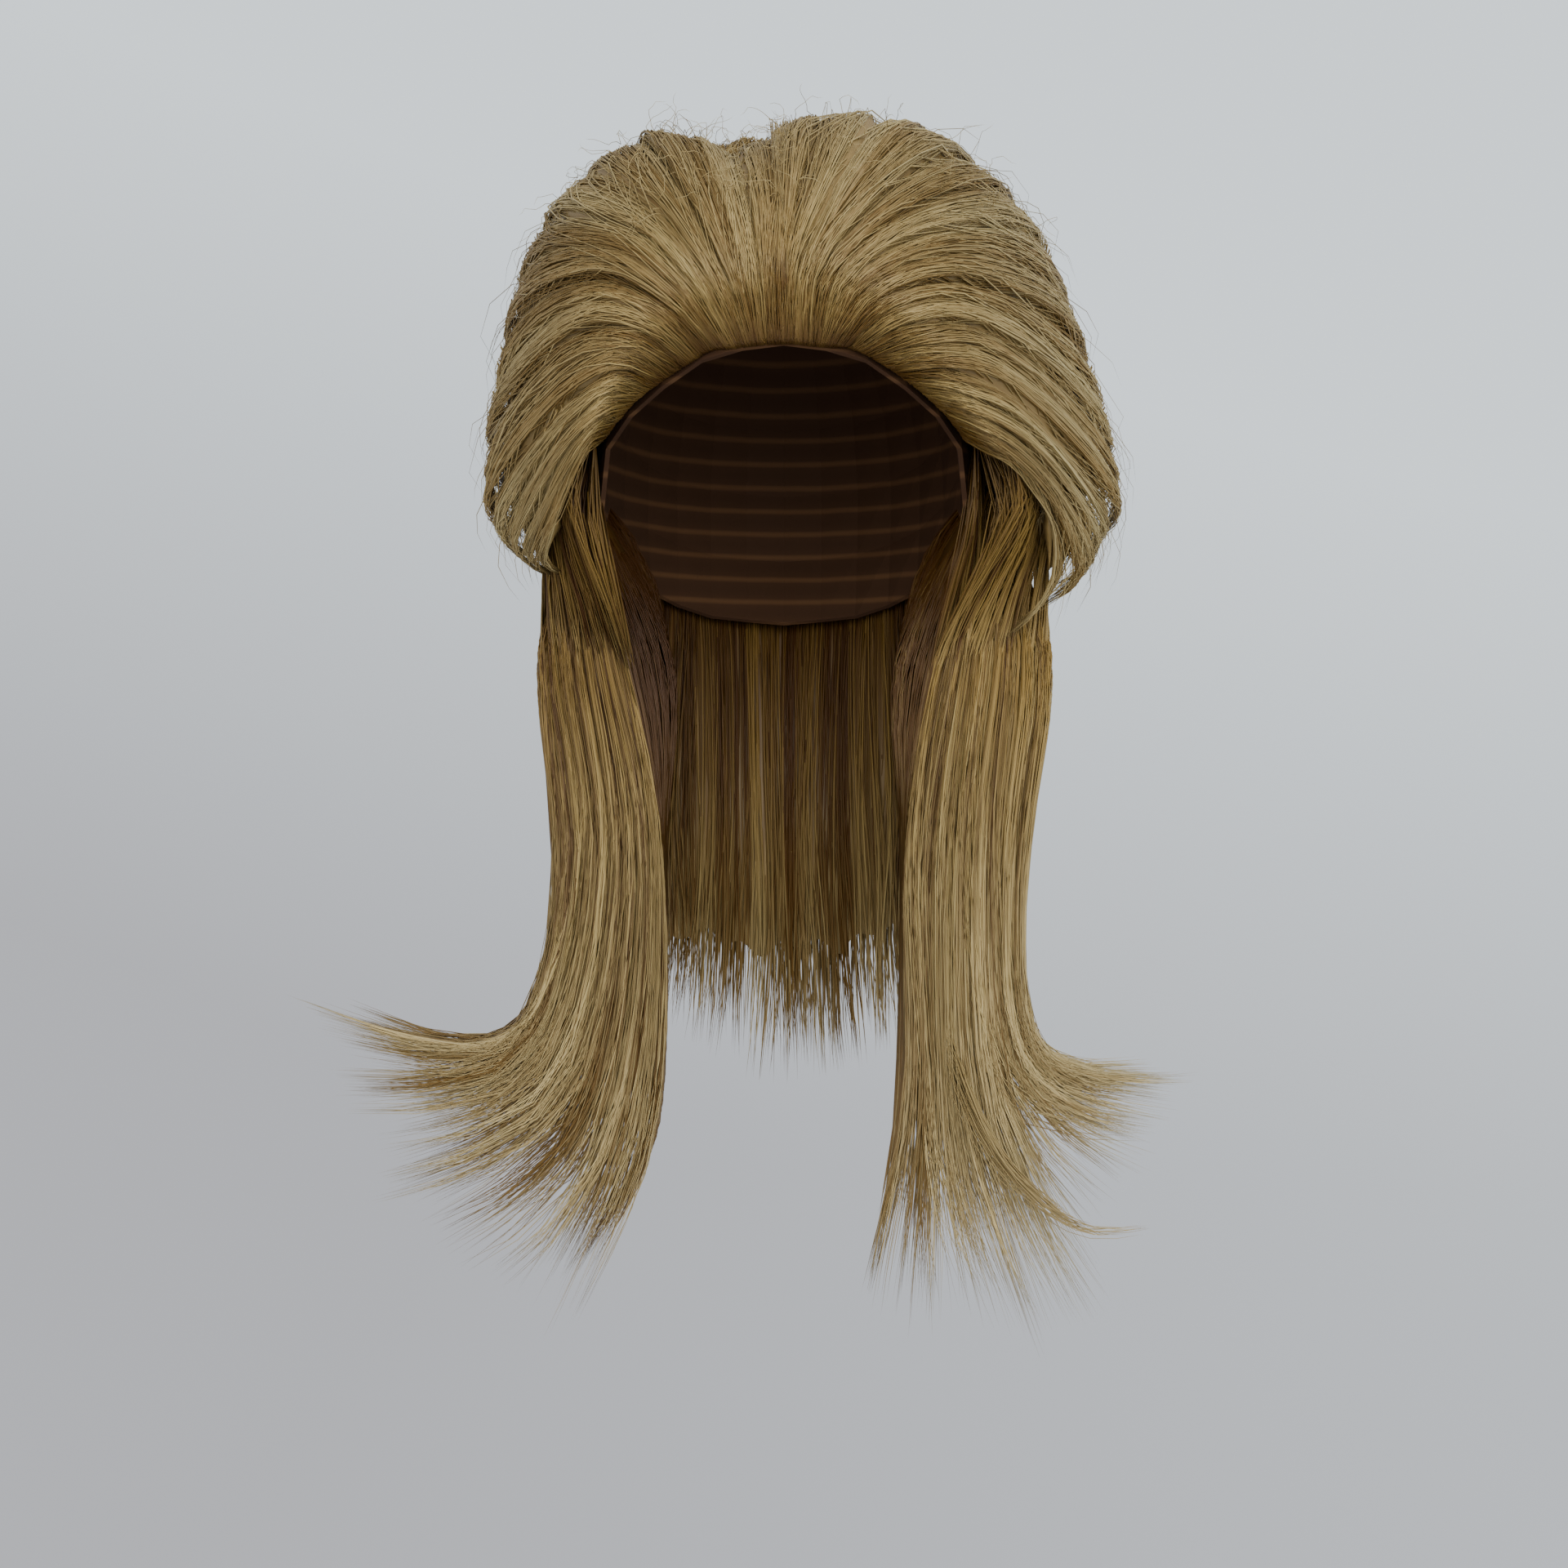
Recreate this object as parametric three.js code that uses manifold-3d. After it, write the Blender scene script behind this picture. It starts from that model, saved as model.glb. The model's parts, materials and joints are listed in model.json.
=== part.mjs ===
// Mullet wig of synthetic hair in its worn shape: a stretch cap, hair swept up and back from the
// face into a high front with a wing at each side, a layered crown, and long hair to the chest.
// Millimetres, +Z up, the wearer faces -Y. Left and right are as seen from the front, so left is -X.
// The origin is the inside of the cap at the crown.
import * as THREE from 'three';
import { mergeVertices } from 'three/addons/utils/BufferGeometryUtils.js';
import Module from 'manifold-3d';

const wasm = await Module();
wasm.setup();

// The head that the cap fits
const headHalfWidth = 76;
const headFrontDepth = 90;
const headBackDepth = 100;
const crownDepth = 95;
const skirtDepth = 60;
const napeTuck = 28;
const sideTuck = 5;

// The cap, with the levels of its hem measured down from the crown
const capWall = 2;
const fitGap = 0.3;
const headClearance = 0.8;
const hairlineLevel = 57;
const templeLevel = 81;
const sideburnLevel = 122;
const earLevel = 109;
const behindEarLevel = 136;
const napeLevel = 152;

// The swept hair: how far its locks stand out over the cap, and how thick it is where it hangs
const hairlineLift = 2.5;
const rootCover = 25;
const rootDepthShare = 0.92;
const sweepHemSide = 88;
const sweepHemBack = 100;
const poufRise = 51;
const poufFront = 20;
const leftWingOut = 43;
const rightWingOut = 59;
const wingDrop = 140;
const wingThickness = 16;
const hangAbove = 6;
const hangBelow = 10;
const sweepRelief = 6;
const partingDepth = 24;

// The layered hair behind the crown
const backLayerLevel = 168;
const sideLayerLevel = 138;
const backThickness = 13;
const backRelief = 6;

// The long hair, measured out from the cap's side and down from the crown
const lengthDrop = 435;
const leftFlickOut = 105;
const rightFlickOut = 80;
const lengthAhead = 70;
const layerBehind = 19;
const rootLift = 9;
const rootBandLeast = 1;
const lengthFrontTurn = 64;
const lengthBackTurn = 132;
const rootPartTurn = 0.4;
const lengthThickness = 24;
const lengthRelief = 4;
const napeDrop = 360;
const napeHalfWidth = 52;
const napeThickness = 13;

const capHalf = headHalfWidth + capWall;
const capFit = capWall + fitGap;
const degrees = THREE.MathUtils.radToDeg;
const radians = THREE.MathUtils.degToRad;
const mix = THREE.MathUtils.lerp;

// The cap's hem: level below the crown at each turn from the front
const capHem = [
  { turn: 0, level: hairlineLevel },
  { turn: 22, level: hairlineLevel + 0.12 * (templeLevel - hairlineLevel) },
  { turn: 53, level: templeLevel },
  { turn: 64, level: mix(templeLevel, sideburnLevel, 0.2) },
  { turn: 73, level: sideburnLevel },
  { turn: 84, level: sideburnLevel },
  { turn: 97, level: earLevel },
  { turn: 122, level: behindEarLevel },
  { turn: 150, level: mix(behindEarLevel, napeLevel, 0.8) },
  { turn: 180, level: napeLevel },
];

// Where the swept hair ends on the cap and the long hair begins
const sweepHem = [
  { turn: 0, level: hairlineLevel },
  { turn: 22, level: hairlineLevel + 0.12 * (templeLevel - hairlineLevel) },
  { turn: 53, level: templeLevel },
  { turn: 64, level: sweepHemSide },
  { turn: 110, level: sweepHemSide },
  { turn: 180, level: sweepHemBack },
];

// One row for each guide lock from the parting out to the wing. root is its turn on the hairline.
// Each station holds the share across, from the middle to the wing's edge, and the share down,
// from the top of the swept hair to the bottom of the wing. ahead is how far the lock stands
// forward as a share of the front's reach, and back how far behind the crown its tip lies.
const leftSweep = [
  { root: -3, rise: [-0.04, 0.43], crest: [-0.04, 0.26], fall: [-0.04, 0.10], side: [-0.04, 0.01],
    tip: [-0.04, 0.06], ahead: 1, back: 0.45 },
  { root: 5, rise: [0.07, 0.44], crest: [0.10, 0.28], fall: [0.13, 0.14], side: [0.15, 0.07],
    tip: [0.15, 0.11], ahead: 1, back: 0.45 },
  { root: 10, rise: [0.17, 0.45], crest: [0.29, 0.27], fall: [0.42, 0.11], side: [0.50, 0.05],
    tip: [0.56, 0.11], ahead: 1, back: 0.45 },
  { root: 16, rise: [0.28, 0.46], crest: [0.46, 0.33], fall: [0.70, 0.25], side: [0.82, 0.23],
    tip: [0.85, 0.34], ahead: 1, back: 0.45 },
  { root: 22, rise: [0.36, 0.50], crest: [0.57, 0.42], fall: [0.81, 0.42], side: [0.95, 0.47],
    tip: [0.95, 0.60], ahead: 1, back: 0.42 },
  { root: 29, rise: [0.44, 0.55], crest: [0.64, 0.53], fall: [0.86, 0.60], side: [1.00, 0.70],
    tip: [0.95, 0.84], ahead: 1, back: 0.32 },
  { root: 38, rise: [0.51, 0.62], crest: [0.68, 0.66], fall: [0.88, 0.76], side: [0.99, 0.86],
    tip: [0.89, 0.97], ahead: 0.92, back: 0.12 },
  { root: 48, rise: [0.57, 0.70], crest: [0.70, 0.77], fall: [0.82, 0.87], side: [0.88, 0.95],
    tip: [0.80, 1.02], ahead: 0.82, back: -0.08 },
  { root: 62, rise: [0.63, 0.76], crest: [0.70, 0.84], fall: [0.75, 0.92], side: [0.78, 0.97],
    tip: [0.76, 1.01], ahead: 0.65, back: -0.22 },
];
const rightSweep = [
  { root: -3, rise: [-0.04, 0.43], crest: [-0.04, 0.26], fall: [-0.04, 0.10], side: [-0.04, 0.01],
    tip: [-0.04, 0.06], ahead: 1, back: 0.45 },
  { root: 3, rise: [0.03, 0.43], crest: [0.12, 0.25], fall: [0.21, 0.08], side: [0.26, 0],
    tip: [0.29, 0.07], ahead: 1, back: 0.45 },
  { root: 7, rise: [0.09, 0.43], crest: [0.24, 0.27], fall: [0.42, 0.12], side: [0.54, 0.08],
    tip: [0.58, 0.15], ahead: 1, back: 0.45 },
  { root: 11, rise: [0.16, 0.45], crest: [0.35, 0.33], fall: [0.60, 0.25], side: [0.76, 0.24],
    tip: [0.79, 0.36], ahead: 1, back: 0.45 },
  { root: 15, rise: [0.24, 0.48], crest: [0.44, 0.41], fall: [0.69, 0.40], side: [0.88, 0.45],
    tip: [0.89, 0.60], ahead: 1, back: 0.42 },
  { root: 20, rise: [0.31, 0.52], crest: [0.51, 0.49], fall: [0.76, 0.54], side: [0.97, 0.66],
    tip: [0.95, 0.80], ahead: 1, back: 0.35 },
  { root: 28, rise: [0.40, 0.59], crest: [0.58, 0.59], fall: [0.81, 0.68], side: [1.00, 0.82],
    tip: [0.97, 0.93], ahead: 0.96, back: 0.18 },
  { root: 40, rise: [0.48, 0.67], crest: [0.65, 0.71], fall: [0.82, 0.80], side: [0.94, 0.91],
    tip: [0.91, 1.00], ahead: 0.89, back: 0.02 },
  { root: 51, rise: [0.55, 0.73], crest: [0.68, 0.78], fall: [0.81, 0.87], side: [0.89, 0.98],
    tip: [0.84, 1.07], ahead: 0.80, back: -0.10 },
  { root: 62, rise: [0.61, 0.78], crest: [0.69, 0.82], fall: [0.77, 0.91], side: [0.77, 1.03],
    tip: [0.67, 1.18], ahead: 0.65, back: -0.24 },
];
const sweepAhead = { rise: 0.90, crest: 0.77, fall: 0.43 };

// One row for each guide lock of the long hair, from the outside in to the neck, with shares
// across to the tip of the outermost flick and shares down to the lowest tip.
const leftLength = [
  { root: 106, ear: [0.54, 0.38], neck: [0.50, 0.60], bend: [0.60, 0.74], tip: [0.99, 0.72] },
  { root: 100, ear: [0.52, 0.38], neck: [0.46, 0.59], bend: [0.57, 0.75], tip: [0.90, 0.78] },
  { root: 95, ear: [0.49, 0.38], neck: [0.42, 0.58], bend: [0.53, 0.77], tip: [0.87, 0.84] },
  { root: 90, ear: [0.45, 0.38], neck: [0.38, 0.58], bend: [0.48, 0.79], tip: [0.82, 0.90] },
  { root: 86, ear: [0.42, 0.38], neck: [0.34, 0.58], bend: [0.42, 0.81], tip: [0.68, 0.93] },
  { root: 82, ear: [0.39, 0.38], neck: [0.30, 0.58], bend: [0.35, 0.82], tip: [0.52, 1.00] },
  { root: 78, ear: [0.35, 0.39], neck: [0.26, 0.58], bend: [0.27, 0.82], tip: [0.44, 0.99] },
];
const rightLength = [
  { root: 106, ear: [0.68, 0.38], neck: [0.61, 0.60], bend: [0.64, 0.75], tip: [0.98, 0.78] },
  { root: 100, ear: [0.64, 0.38], neck: [0.57, 0.59], bend: [0.60, 0.76], tip: [0.89, 0.83] },
  { root: 95, ear: [0.58, 0.38], neck: [0.52, 0.58], bend: [0.56, 0.77], tip: [0.80, 0.86] },
  { root: 90, ear: [0.54, 0.38], neck: [0.47, 0.58], bend: [0.49, 0.80], tip: [0.66, 1.00] },
  { root: 86, ear: [0.49, 0.38], neck: [0.41, 0.58], bend: [0.42, 0.82], tip: [0.52, 1.01] },
  { root: 82, ear: [0.44, 0.38], neck: [0.35, 0.58], bend: [0.34, 0.82], tip: [0.26, 0.99] },
  { root: 78, ear: [0.39, 0.39], neck: [0.30, 0.58], bend: [0.29, 0.80], tip: [0.15, 0.96] },
];
const lengthAheadShare = { ear: 0.29, neck: 0.57, bend: 0.83, tip: 1 };

// Along the long hair, from the roots to the tips: how far its face looks outwards and ahead, and
// its thickness as a share of the largest
const lengthFacing = [
  { along: 0, out: 1, ahead: 0, thickness: 0.50 },
  { along: 0.12, out: 0.9, ahead: 0.4, thickness: 0.50 },
  { along: 0.25, out: 0.1, ahead: 1, thickness: 0.80 },
  { along: 0.5, out: 0.1, ahead: 1, thickness: 1.00 },
  { along: 0.75, out: 0, ahead: 1, thickness: 0.70 },
  { along: 1, out: 0, ahead: 1, thickness: 0.12 },
];

// The layers of long hair, from the front one back: how many locks each has, the part of the guide
// rows that it spans, its turn further round, how far behind it lies, how much nearer the neck it
// passes below the ear, and how much of the way from the bend to the tips it reaches
const lengthLayers = [
  { count: 8, from: 0, to: 1, turn: 0, behind: 0, inward: 0, reach: 1 },
  { count: 6, from: 0.04, to: 0.9, turn: 24, behind: 1, inward: 0.1, reach: 0.8 },
];

// The hair behind the neck: shares across, down and behind for the guide locks from middle to side
const napeLength = [
  { root: 180, neck: [0, 0.62, 0.80], bend: [0, 0.82, 0.83], tip: [0, 1.00, 0.95] },
  { root: 158, neck: [0.52, 0.62, 0.77], bend: [0.54, 0.81, 0.80], tip: [0.60, 0.98, 0.92] },
  { root: 138, neck: [1.12, 0.61, 0.66], bend: [1.10, 0.79, 0.70], tip: [1.18, 0.92, 0.80] },
];

// The layered hair behind the crown: how far down each station lies between the top of a lock and
// its tip, and the share that is left there of its lift over the cap
const backStations = [
  { down: 0, lift: 0.98 },
  { down: 0.3, lift: 0.88 },
  { down: 0.6, lift: 0.70 },
  { down: 0.82, lift: 0.57 },
  { down: 1, lift: 0.42 },
];

// How deep the grooves between neighbouring locks are, lock by lock
const lockRelief = [1, 0.5, 0.85, 0.35, 0.95, 0.6, 0.75, 0.4];

// Reads a named column of a table at a place between its rows.
function readTable(table, key, column, at) {
  const last = table.length - 1;
  let row = 0;
  while (row < last - 1 && at > table[row + 1][key]) row += 1;
  const a = table[row];
  const b = table[row + 1];
  const share = THREE.MathUtils.clamp((at - a[key]) / (b[key] - a[key]), 0, 1);
  return mix(a[column], b[column], share);
}

// The angle from the crown at which the head reaches a level.
function dropAt(level) {
  if (level <= crownDepth) return degrees(Math.acos(1 - level / crownDepth));
  return 90 + (90 * (level - crownDepth)) / (2.5 * skirtDepth);
}

// A point on the head, set off outwards. The turn runs from the front towards +X, and tucked is how
// far the point follows the head in below its widest level.
function headPoint(turn, drop, off, tucked = 1) {
  const t = radians(turn);
  const d = radians(Math.min(drop, 90));
  const below = (Math.max(drop - 90, 0) / 90) * 2.5 * skirtDepth;
  const tuck = tucked * (below / skirtDepth) ** 2;
  const depth = Math.cos(t) > 0 ? headFrontDepth : headBackDepth;
  const side = (headHalfWidth + off - sideTuck * tuck) * Math.sin(d) * Math.sin(t);
  const behind = (depth + off - (Math.cos(t) < 0 ? napeTuck * tuck : 0)) * Math.sin(d) * Math.cos(t);
  const height = (crownDepth + off) * Math.cos(d) - crownDepth - below;
  return new THREE.Vector3(side, -behind, height);
}

// Turns a closed geometry into a solid with its faces outwards.
function toSolid(geometry) {
  const bare = geometry.clone();
  bare.deleteAttribute('normal');
  bare.deleteAttribute('uv');
  const merged = mergeVertices(bare, 1e-4);
  const vertProperties = new Float32Array(merged.attributes.position.array);
  const triVerts = new Uint32Array(merged.index.array);
  const solid = new wasm.Manifold(new wasm.Mesh({ numProp: 3, vertProperties, triVerts }));
  if (solid.volume() > 0) return solid;
  return new wasm.Manifold(new wasm.Mesh({ numProp: 3, vertProperties, triVerts: triVerts.reverse() }));
}

// Moves every vertex of a geometry to where place puts it.
function reshape(geometry, place) {
  const position = geometry.attributes.position;
  for (let i = 0; i < position.count; i += 1) {
    const p = place(position.getX(i), position.getY(i), position.getZ(i));
    position.setXYZ(i, p.x, p.y, p.z);
  }
  return geometry;
}

// The space under a dome that is set off from the head, from the crown down to a hem and from there
// closed towards the middle. A turned unit profile gives the share of the way down. A dome that goes
// on below the hem does so in one more ring, so that its facets above match those of the cap.
function dome(hem, off, below) {
  const rings = 7;
  const profile = [new THREE.Vector2(0, 0)];
  for (let i = below > 0 ? rings + 1 : rings; i >= 0; i -= 1) profile.push(new THREE.Vector2(i / rings, 1));
  return toSolid(reshape(new THREE.LatheGeometry(profile, 28), (x, layer, z) => {
    if (layer < 0.5) return new THREE.Vector3(0, 0, -crownDepth - below);
    const share = Math.hypot(x, z);
    const turn = share > 1e-6 ? degrees(Math.atan2(x, z)) : 0;
    const level = hem(Math.abs(turn));
    const drop = share < 1 + 1e-3 ? share * dropAt(level) : dropAt(level + below);
    return headPoint(turn, drop, off);
  }));
}

// A band laid round the head between two levels.
function headBand(top, hem, inner, outer, turns) {
  const corners = [[1, 0], [2, 0], [2, 1], [1, 1], [1, 0]];
  const geometry = new THREE.LatheGeometry(corners.map((c) => new THREE.Vector2(c[0], c[1])), turns);
  return toSolid(reshape(geometry, (x, layer, z) => {
    const share = Math.hypot(x, z) - 1;
    const turn = degrees(Math.atan2(x, z));
    const low = hem(Math.abs(turn));
    const high = Math.min(top(Math.abs(turn)), low - rootBandLeast);
    return headPoint(turn, dropAt(mix(high, low, share)), layer < 0.5 ? inner : outer(share));
  }));
}

// The space that the head takes up, down to the sideburns in front and to the cap's hem behind.
function headSpace(off) {
  const rings = 8;
  const profile = [new THREE.Vector2(0, 0)];
  for (let i = rings; i >= 0; i -= 1) profile.push(new THREE.Vector2(i / rings, 1));
  return toSolid(reshape(new THREE.LatheGeometry(profile, 32), (x, layer, z) => {
    if (layer < 0.5) return new THREE.Vector3(0, 0, -sideburnLevel);
    const share = Math.hypot(x, z);
    const turn = share > 1e-6 ? degrees(Math.atan2(x, z)) : 0;
    const hem = Math.max(readTable(capHem, 'turn', 'level', Math.abs(turn)), sideburnLevel) + fitGap;
    return headPoint(turn, share * dropAt(hem), off);
  }));
}

// A slab of space between two turns from the front, for parting one piece of hair from the next.
function wedge(fromTurn, toTurn) {
  const reach = 4 * headBackDepth;
  const shape = new THREE.Shape();
  shape.moveTo(0, 0);
  const steps = 4;
  for (let i = 0; i <= steps; i += 1) {
    const t = radians(mix(fromTurn, toTurn, i / steps));
    shape.lineTo(reach * Math.sin(t), -reach * Math.cos(t));
  }
  const geometry = new THREE.ExtrudeGeometry(shape, { depth: 2 * reach, bevelEnabled: false });
  return toSolid(geometry.translate(0, 0, -reach));
}

// A block of space.
function block(x0, x1, y0, y1, z0, z1) {
  const geometry = new THREE.BoxGeometry(x1 - x0, y1 - y0, z1 - z0);
  return toSolid(geometry.translate((x0 + x1) / 2, (y0 + y1) / 2, (z0 + z1) / 2));
}

// A sheet of locks side by side: a box divided into a grid, with a column of it on each ridge and
// each groove. column gives, for a share across and a groove's depth, the point at a share along
// in the outer or the inner layer, and grow makes the sheet larger all round.
function lockSheet(count, rings, column) {
  const geometry = new THREE.BoxGeometry(1, 1, 1, 2 * count, rings, 1);
  const columns = [];
  for (let i = 0; i <= 2 * count; i += 1) {
    const groove = i % 2 === 0 ? lockRelief[(i / 2) % lockRelief.length] : 0;
    columns.push(column(i / (2 * count), groove));
  }
  const columnAt = (x) => columns[Math.round((x + 0.5) * 2 * count)];
  return toSolid(reshape(geometry, (x, y, z) => columnAt(x)(y + 0.5, z > 0)));
}

// A hanging sheet of locks that ends in points. path gives the curve on its outer face at a share
// across, facing the way it looks at a share along, and thickness how thick it is there.
function hangingSheet(count, rings, path, facing, thickness, grow) {
  const first = path(0);
  const last = path(1);
  return lockSheet(count, rings, (share, groove) => {
    const curve = path(share);
    const edge = Math.floor(share) - Math.floor(1 - share);
    return (along, outer) => {
      const at = along * (1 - (edge === 0 ? 0.13 * Math.sqrt(groove) * along ** 4 : 0));
      const across = new THREE.Vector3().subVectors(last.getPoint(at), first.getPoint(at)).normalize();
      const end = Math.floor(along) - Math.floor(1 - along);
      const relief = groove * Math.min(3 * along * lengthRelief, lengthRelief, 0.6 * thickness(along));
      const depth = outer ? grow - relief : -grow - thickness(along);
      return curve.getPoint(at)
        .addScaledVector(facing(along).normalize(), depth)
        .addScaledVector(across, grow * edge)
        .addScaledVector(curve.getTangent(at), grow * end);
    };
  });
}

// The inner face of hair over the head: just inside the head, above its hem, and where it hangs
// free, a thickness in from the outer face.
function underPoint(point, hem, thickness, free) {
  const depth = point.y < 0 ? headFrontDepth : headBackDepth;
  const towards = new THREE.Vector3(point.x / headHalfWidth, point.y / depth, 1 + point.z / crownDepth);
  const up = Math.max(towards.normalize().z, 1 - (hem - rootCover) / crownDepth);
  const level = (rootDepthShare * Math.sqrt(1 - up ** 2)) / Math.hypot(towards.x, towards.y);
  const onHead = new THREE.Vector3(
    towards.x * level * headHalfWidth,
    towards.y * level * depth,
    (rootDepthShare * up - 1) * crownDepth,
  );
  const inwards = new THREE.Vector3(0, 0, -0.6 * crownDepth).sub(point).normalize();
  const hanging = point.clone().addScaledVector(inwards, thickness);
  return onHead.lerp(hanging, free * THREE.MathUtils.smoothstep(-point.z, hem - hangAbove, hem + hangBelow));
}

// A smooth value between b and c, on the curve through four values.
function smooth(a, b, c, d, at) {
  const bend = 2 * a - 5 * b + 4 * c - d + (3 * b - a - 3 * c + d) * at;
  return b + 0.5 * at * (c - a + at * bend);
}

// The stations of a lock, blended smoothly from the guide rows around a share of the way through.
function blendRows(rows, share) {
  const at = share * (rows.length - 1);
  const row = Math.min(Math.floor(at), rows.length - 2);
  const four = [row - 1, row, row + 1, row + 2].map((i) => rows[THREE.MathUtils.clamp(i, 0, rows.length - 1)]);
  const blend = (values) => smooth(...values, at - row);
  const result = {};
  for (const key of Object.keys(rows[0])) {
    const cells = four.map((guide) => guide[key]);
    result[key] = Array.isArray(cells[0])
      ? cells[0].map((first, i) => blend(cells.map((cell) => cell[i])))
      : blend(cells);
  }
  return result;
}

const capLevel = (turn) => readTable(capHem, 'turn', 'level', turn);
const sweepLevel = (turn) => readTable(sweepHem, 'turn', 'level', turn);
// A point moved by a depth towards the one that lies under it.
const sinkInto = (under, point, depth) => under.sub(point).setLength(depth).add(point);
// The share of a groove's full depth: it grows from the roots and halves towards the tips.
const ridge = (start, along) => Math.min(start, 1, 2 - 1.5 * along);

// The hair swept from one side's hairline over the crest and back, or down into the wing.
function sweepSheet(rows, side, span, count) {
  const height = poufRise + wingDrop;
  const front = headFrontDepth + capWall + poufFront;
  return lockSheet(count, 9, (share, groove) => {
    const row = blendRows(rows, share);
    const depths = {
      rise: -row.ahead * sweepAhead.rise * front,
      crest: -row.ahead * sweepAhead.crest * front,
      fall: -sweepAhead.fall * front,
      side: 0.5 * (row.back * headBackDepth - sweepAhead.fall * front),
      tip: row.back * headBackDepth,
    };
    const points = [headPoint(side * row.root, dropAt(capLevel(Math.abs(row.root))), capFit + hairlineLift)];
    for (const station of Object.keys(depths)) {
      const [across, down] = row[station];
      points.push(new THREE.Vector3(side * across * span, depths[station], poufRise - down * height));
    }
    const curve = new THREE.CatmullRomCurve3(points, false, 'centripetal');
    const notch = 0.25 * Math.sqrt(groove) * THREE.MathUtils.smoothstep(share, 0.55, 0.8);
    return (along, outer) => {
      const point = curve.getPoint(along * (1 - notch * along ** 3));
      const hem = sweepLevel(degrees(Math.atan2(Math.abs(point.x), -point.y)));
      const free = THREE.MathUtils.smoothstep(along, 0.4, 0.7);
      const under = underPoint(point, hem, mix(wingThickness, 0.4 * wingThickness, along), free);
      return outer ? sinkInto(under, point, groove * sweepRelief * ridge(3 * along, along)) : under;
    };
  });
}

// The layered hair that carries the sweep on from behind the crown down to the nape.
function backSheet(count) {
  const behind = (0.6 * partingDepth) / headBackDepth;
  return lockSheet(count, 6, (share, groove) => {
    const place = 2 * share - 1;
    const across = Math.sin(radians(76 * place));
    const out = place < 0 ? leftWingOut : rightWingOut;
    const lift = mix(poufRise - hairlineLift, out, across ** 2);
    const topTurn = degrees(Math.atan2(across, -behind));
    const topDrop = degrees(Math.asin(Math.hypot(across, behind)));
    const footTurn = (place < 0 ? -180 : 180) - 84 * place;
    const points = backStations.map((station) => headPoint(
      mix(topTurn, footTurn, station.down),
      mix(topDrop, dropAt(mix(backLayerLevel, sideLayerLevel, place ** 2)), station.down),
      capWall + station.lift * lift,
      0.4,
    ));
    const curve = new THREE.CatmullRomCurve3(points, false, 'centripetal');
    return (along, outer) => {
      const point = curve.getPoint(groove > 0 ? along * (1 - 0.12 * groove * along ** 3) : along);
      const hem = mix(sweepHemBack, sweepHemSide, place ** 2);
      const under = underPoint(point, hem, mix(backThickness, 0.4 * backThickness, along), 1);
      return outer ? sinkInto(under, point, groove * backRelief * ridge(0.3 + 2 * along, along)) : under;
    };
  });
}

// One side's long hair, in a layer at the front of the neck and one behind it.
function lengthSheets(rows, side, span, grow) {
  return lengthLayers.map((layer) => hangingSheet(
    layer.count,
    9,
    (share) => {
      const row = blendRows(rows, mix(layer.from, layer.to, share));
      const turn = row.root + layer.turn;
      const points = [headPoint(side * turn, dropAt(sweepLevel(turn) + rootLift), capFit + rootLift)];
      for (const station of Object.keys(lengthAheadShare)) {
        const [across, down] = row[station].map((value, i) => (
          station === 'tip' ? mix(row.bend[i], value, layer.reach) : value
        ));
        const inward = station === 'ear' ? share * layer.inward : 0;
        const y = layer.behind * layerBehind - lengthAheadShare[station] * lengthAhead;
        points.push(new THREE.Vector3(side * (across - inward) * span, y, -down * lengthDrop));
      }
      return new THREE.CatmullRomCurve3(points, false, 'centripetal');
    },
    (along) => new THREE.Vector3(
      side * readTable(lengthFacing, 'along', 'out', along),
      -readTable(lengthFacing, 'along', 'ahead', along),
      0,
    ),
    (along) => lengthThickness * readTable(lengthFacing, 'along', 'thickness', along),
    grow,
  ));
}

// The hair that hangs behind the neck.
function napeSheet(count, grow) {
  return hangingSheet(
    count,
    7,
    (share) => {
      const place = 2 * share - 1;
      const side = place < 0 ? -1 : 1;
      const row = blendRows(napeLength, Math.abs(place));
      const points = [headPoint(side * row.root, dropAt(sweepHemBack + 2 * rootLift), capFit + rootLift)];
      for (const station of ['neck', 'bend', 'tip']) {
        const [across, down, behind] = row[station];
        points.push(new THREE.Vector3(side * across * napeHalfWidth, behind * headBackDepth, -down * napeDrop));
      }
      return new THREE.CatmullRomCurve3(points, false, 'centripetal');
    },
    () => new THREE.Vector3(0, 1, 0),
    (along) => napeThickness * mix(1, 0.15, along ** 2),
    grow,
  );
}

const unite = (solids) => wasm.Manifold.union(solids);

// The largest body of a solid, as its outer skin alone.
function mainBody(solid) {
  const bodies = solid.decompose().sort((a, b) => b.volume() - a.volume());
  return bodies[0];
}

const leftSpan = capHalf + leftWingOut;
const rightSpan = capHalf + rightWingOut;
const leftReach = capHalf + leftFlickOut;
const rightReach = capHalf + rightFlickOut;
const far = 4 * headBackDepth;
const half = fitGap / 2;

const wigCap = dome(capLevel, capWall, 0).subtract(dome(capLevel, 0, 3 * capWall));
const head = unite([headSpace(headClearance), dome(capLevel, capFit, capWall)]);
// The space of the swept hair above its hem, which the long hair starts below
const sweepSpace = dome((turn) => sweepLevel(turn) + fitGap, poufRise, 0);

// The roots of the long hair, below the hem of the swept hair
const rootBand = (grow) => headBand(
  (turn) => sweepLevel(turn) + fitGap - grow,
  (turn) => capLevel(turn) - rootBandLeast + grow,
  capFit,
  (share) => capFit + mix(rootLift, 0.6 * rootLift, share) + grow,
  32,
);

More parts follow.
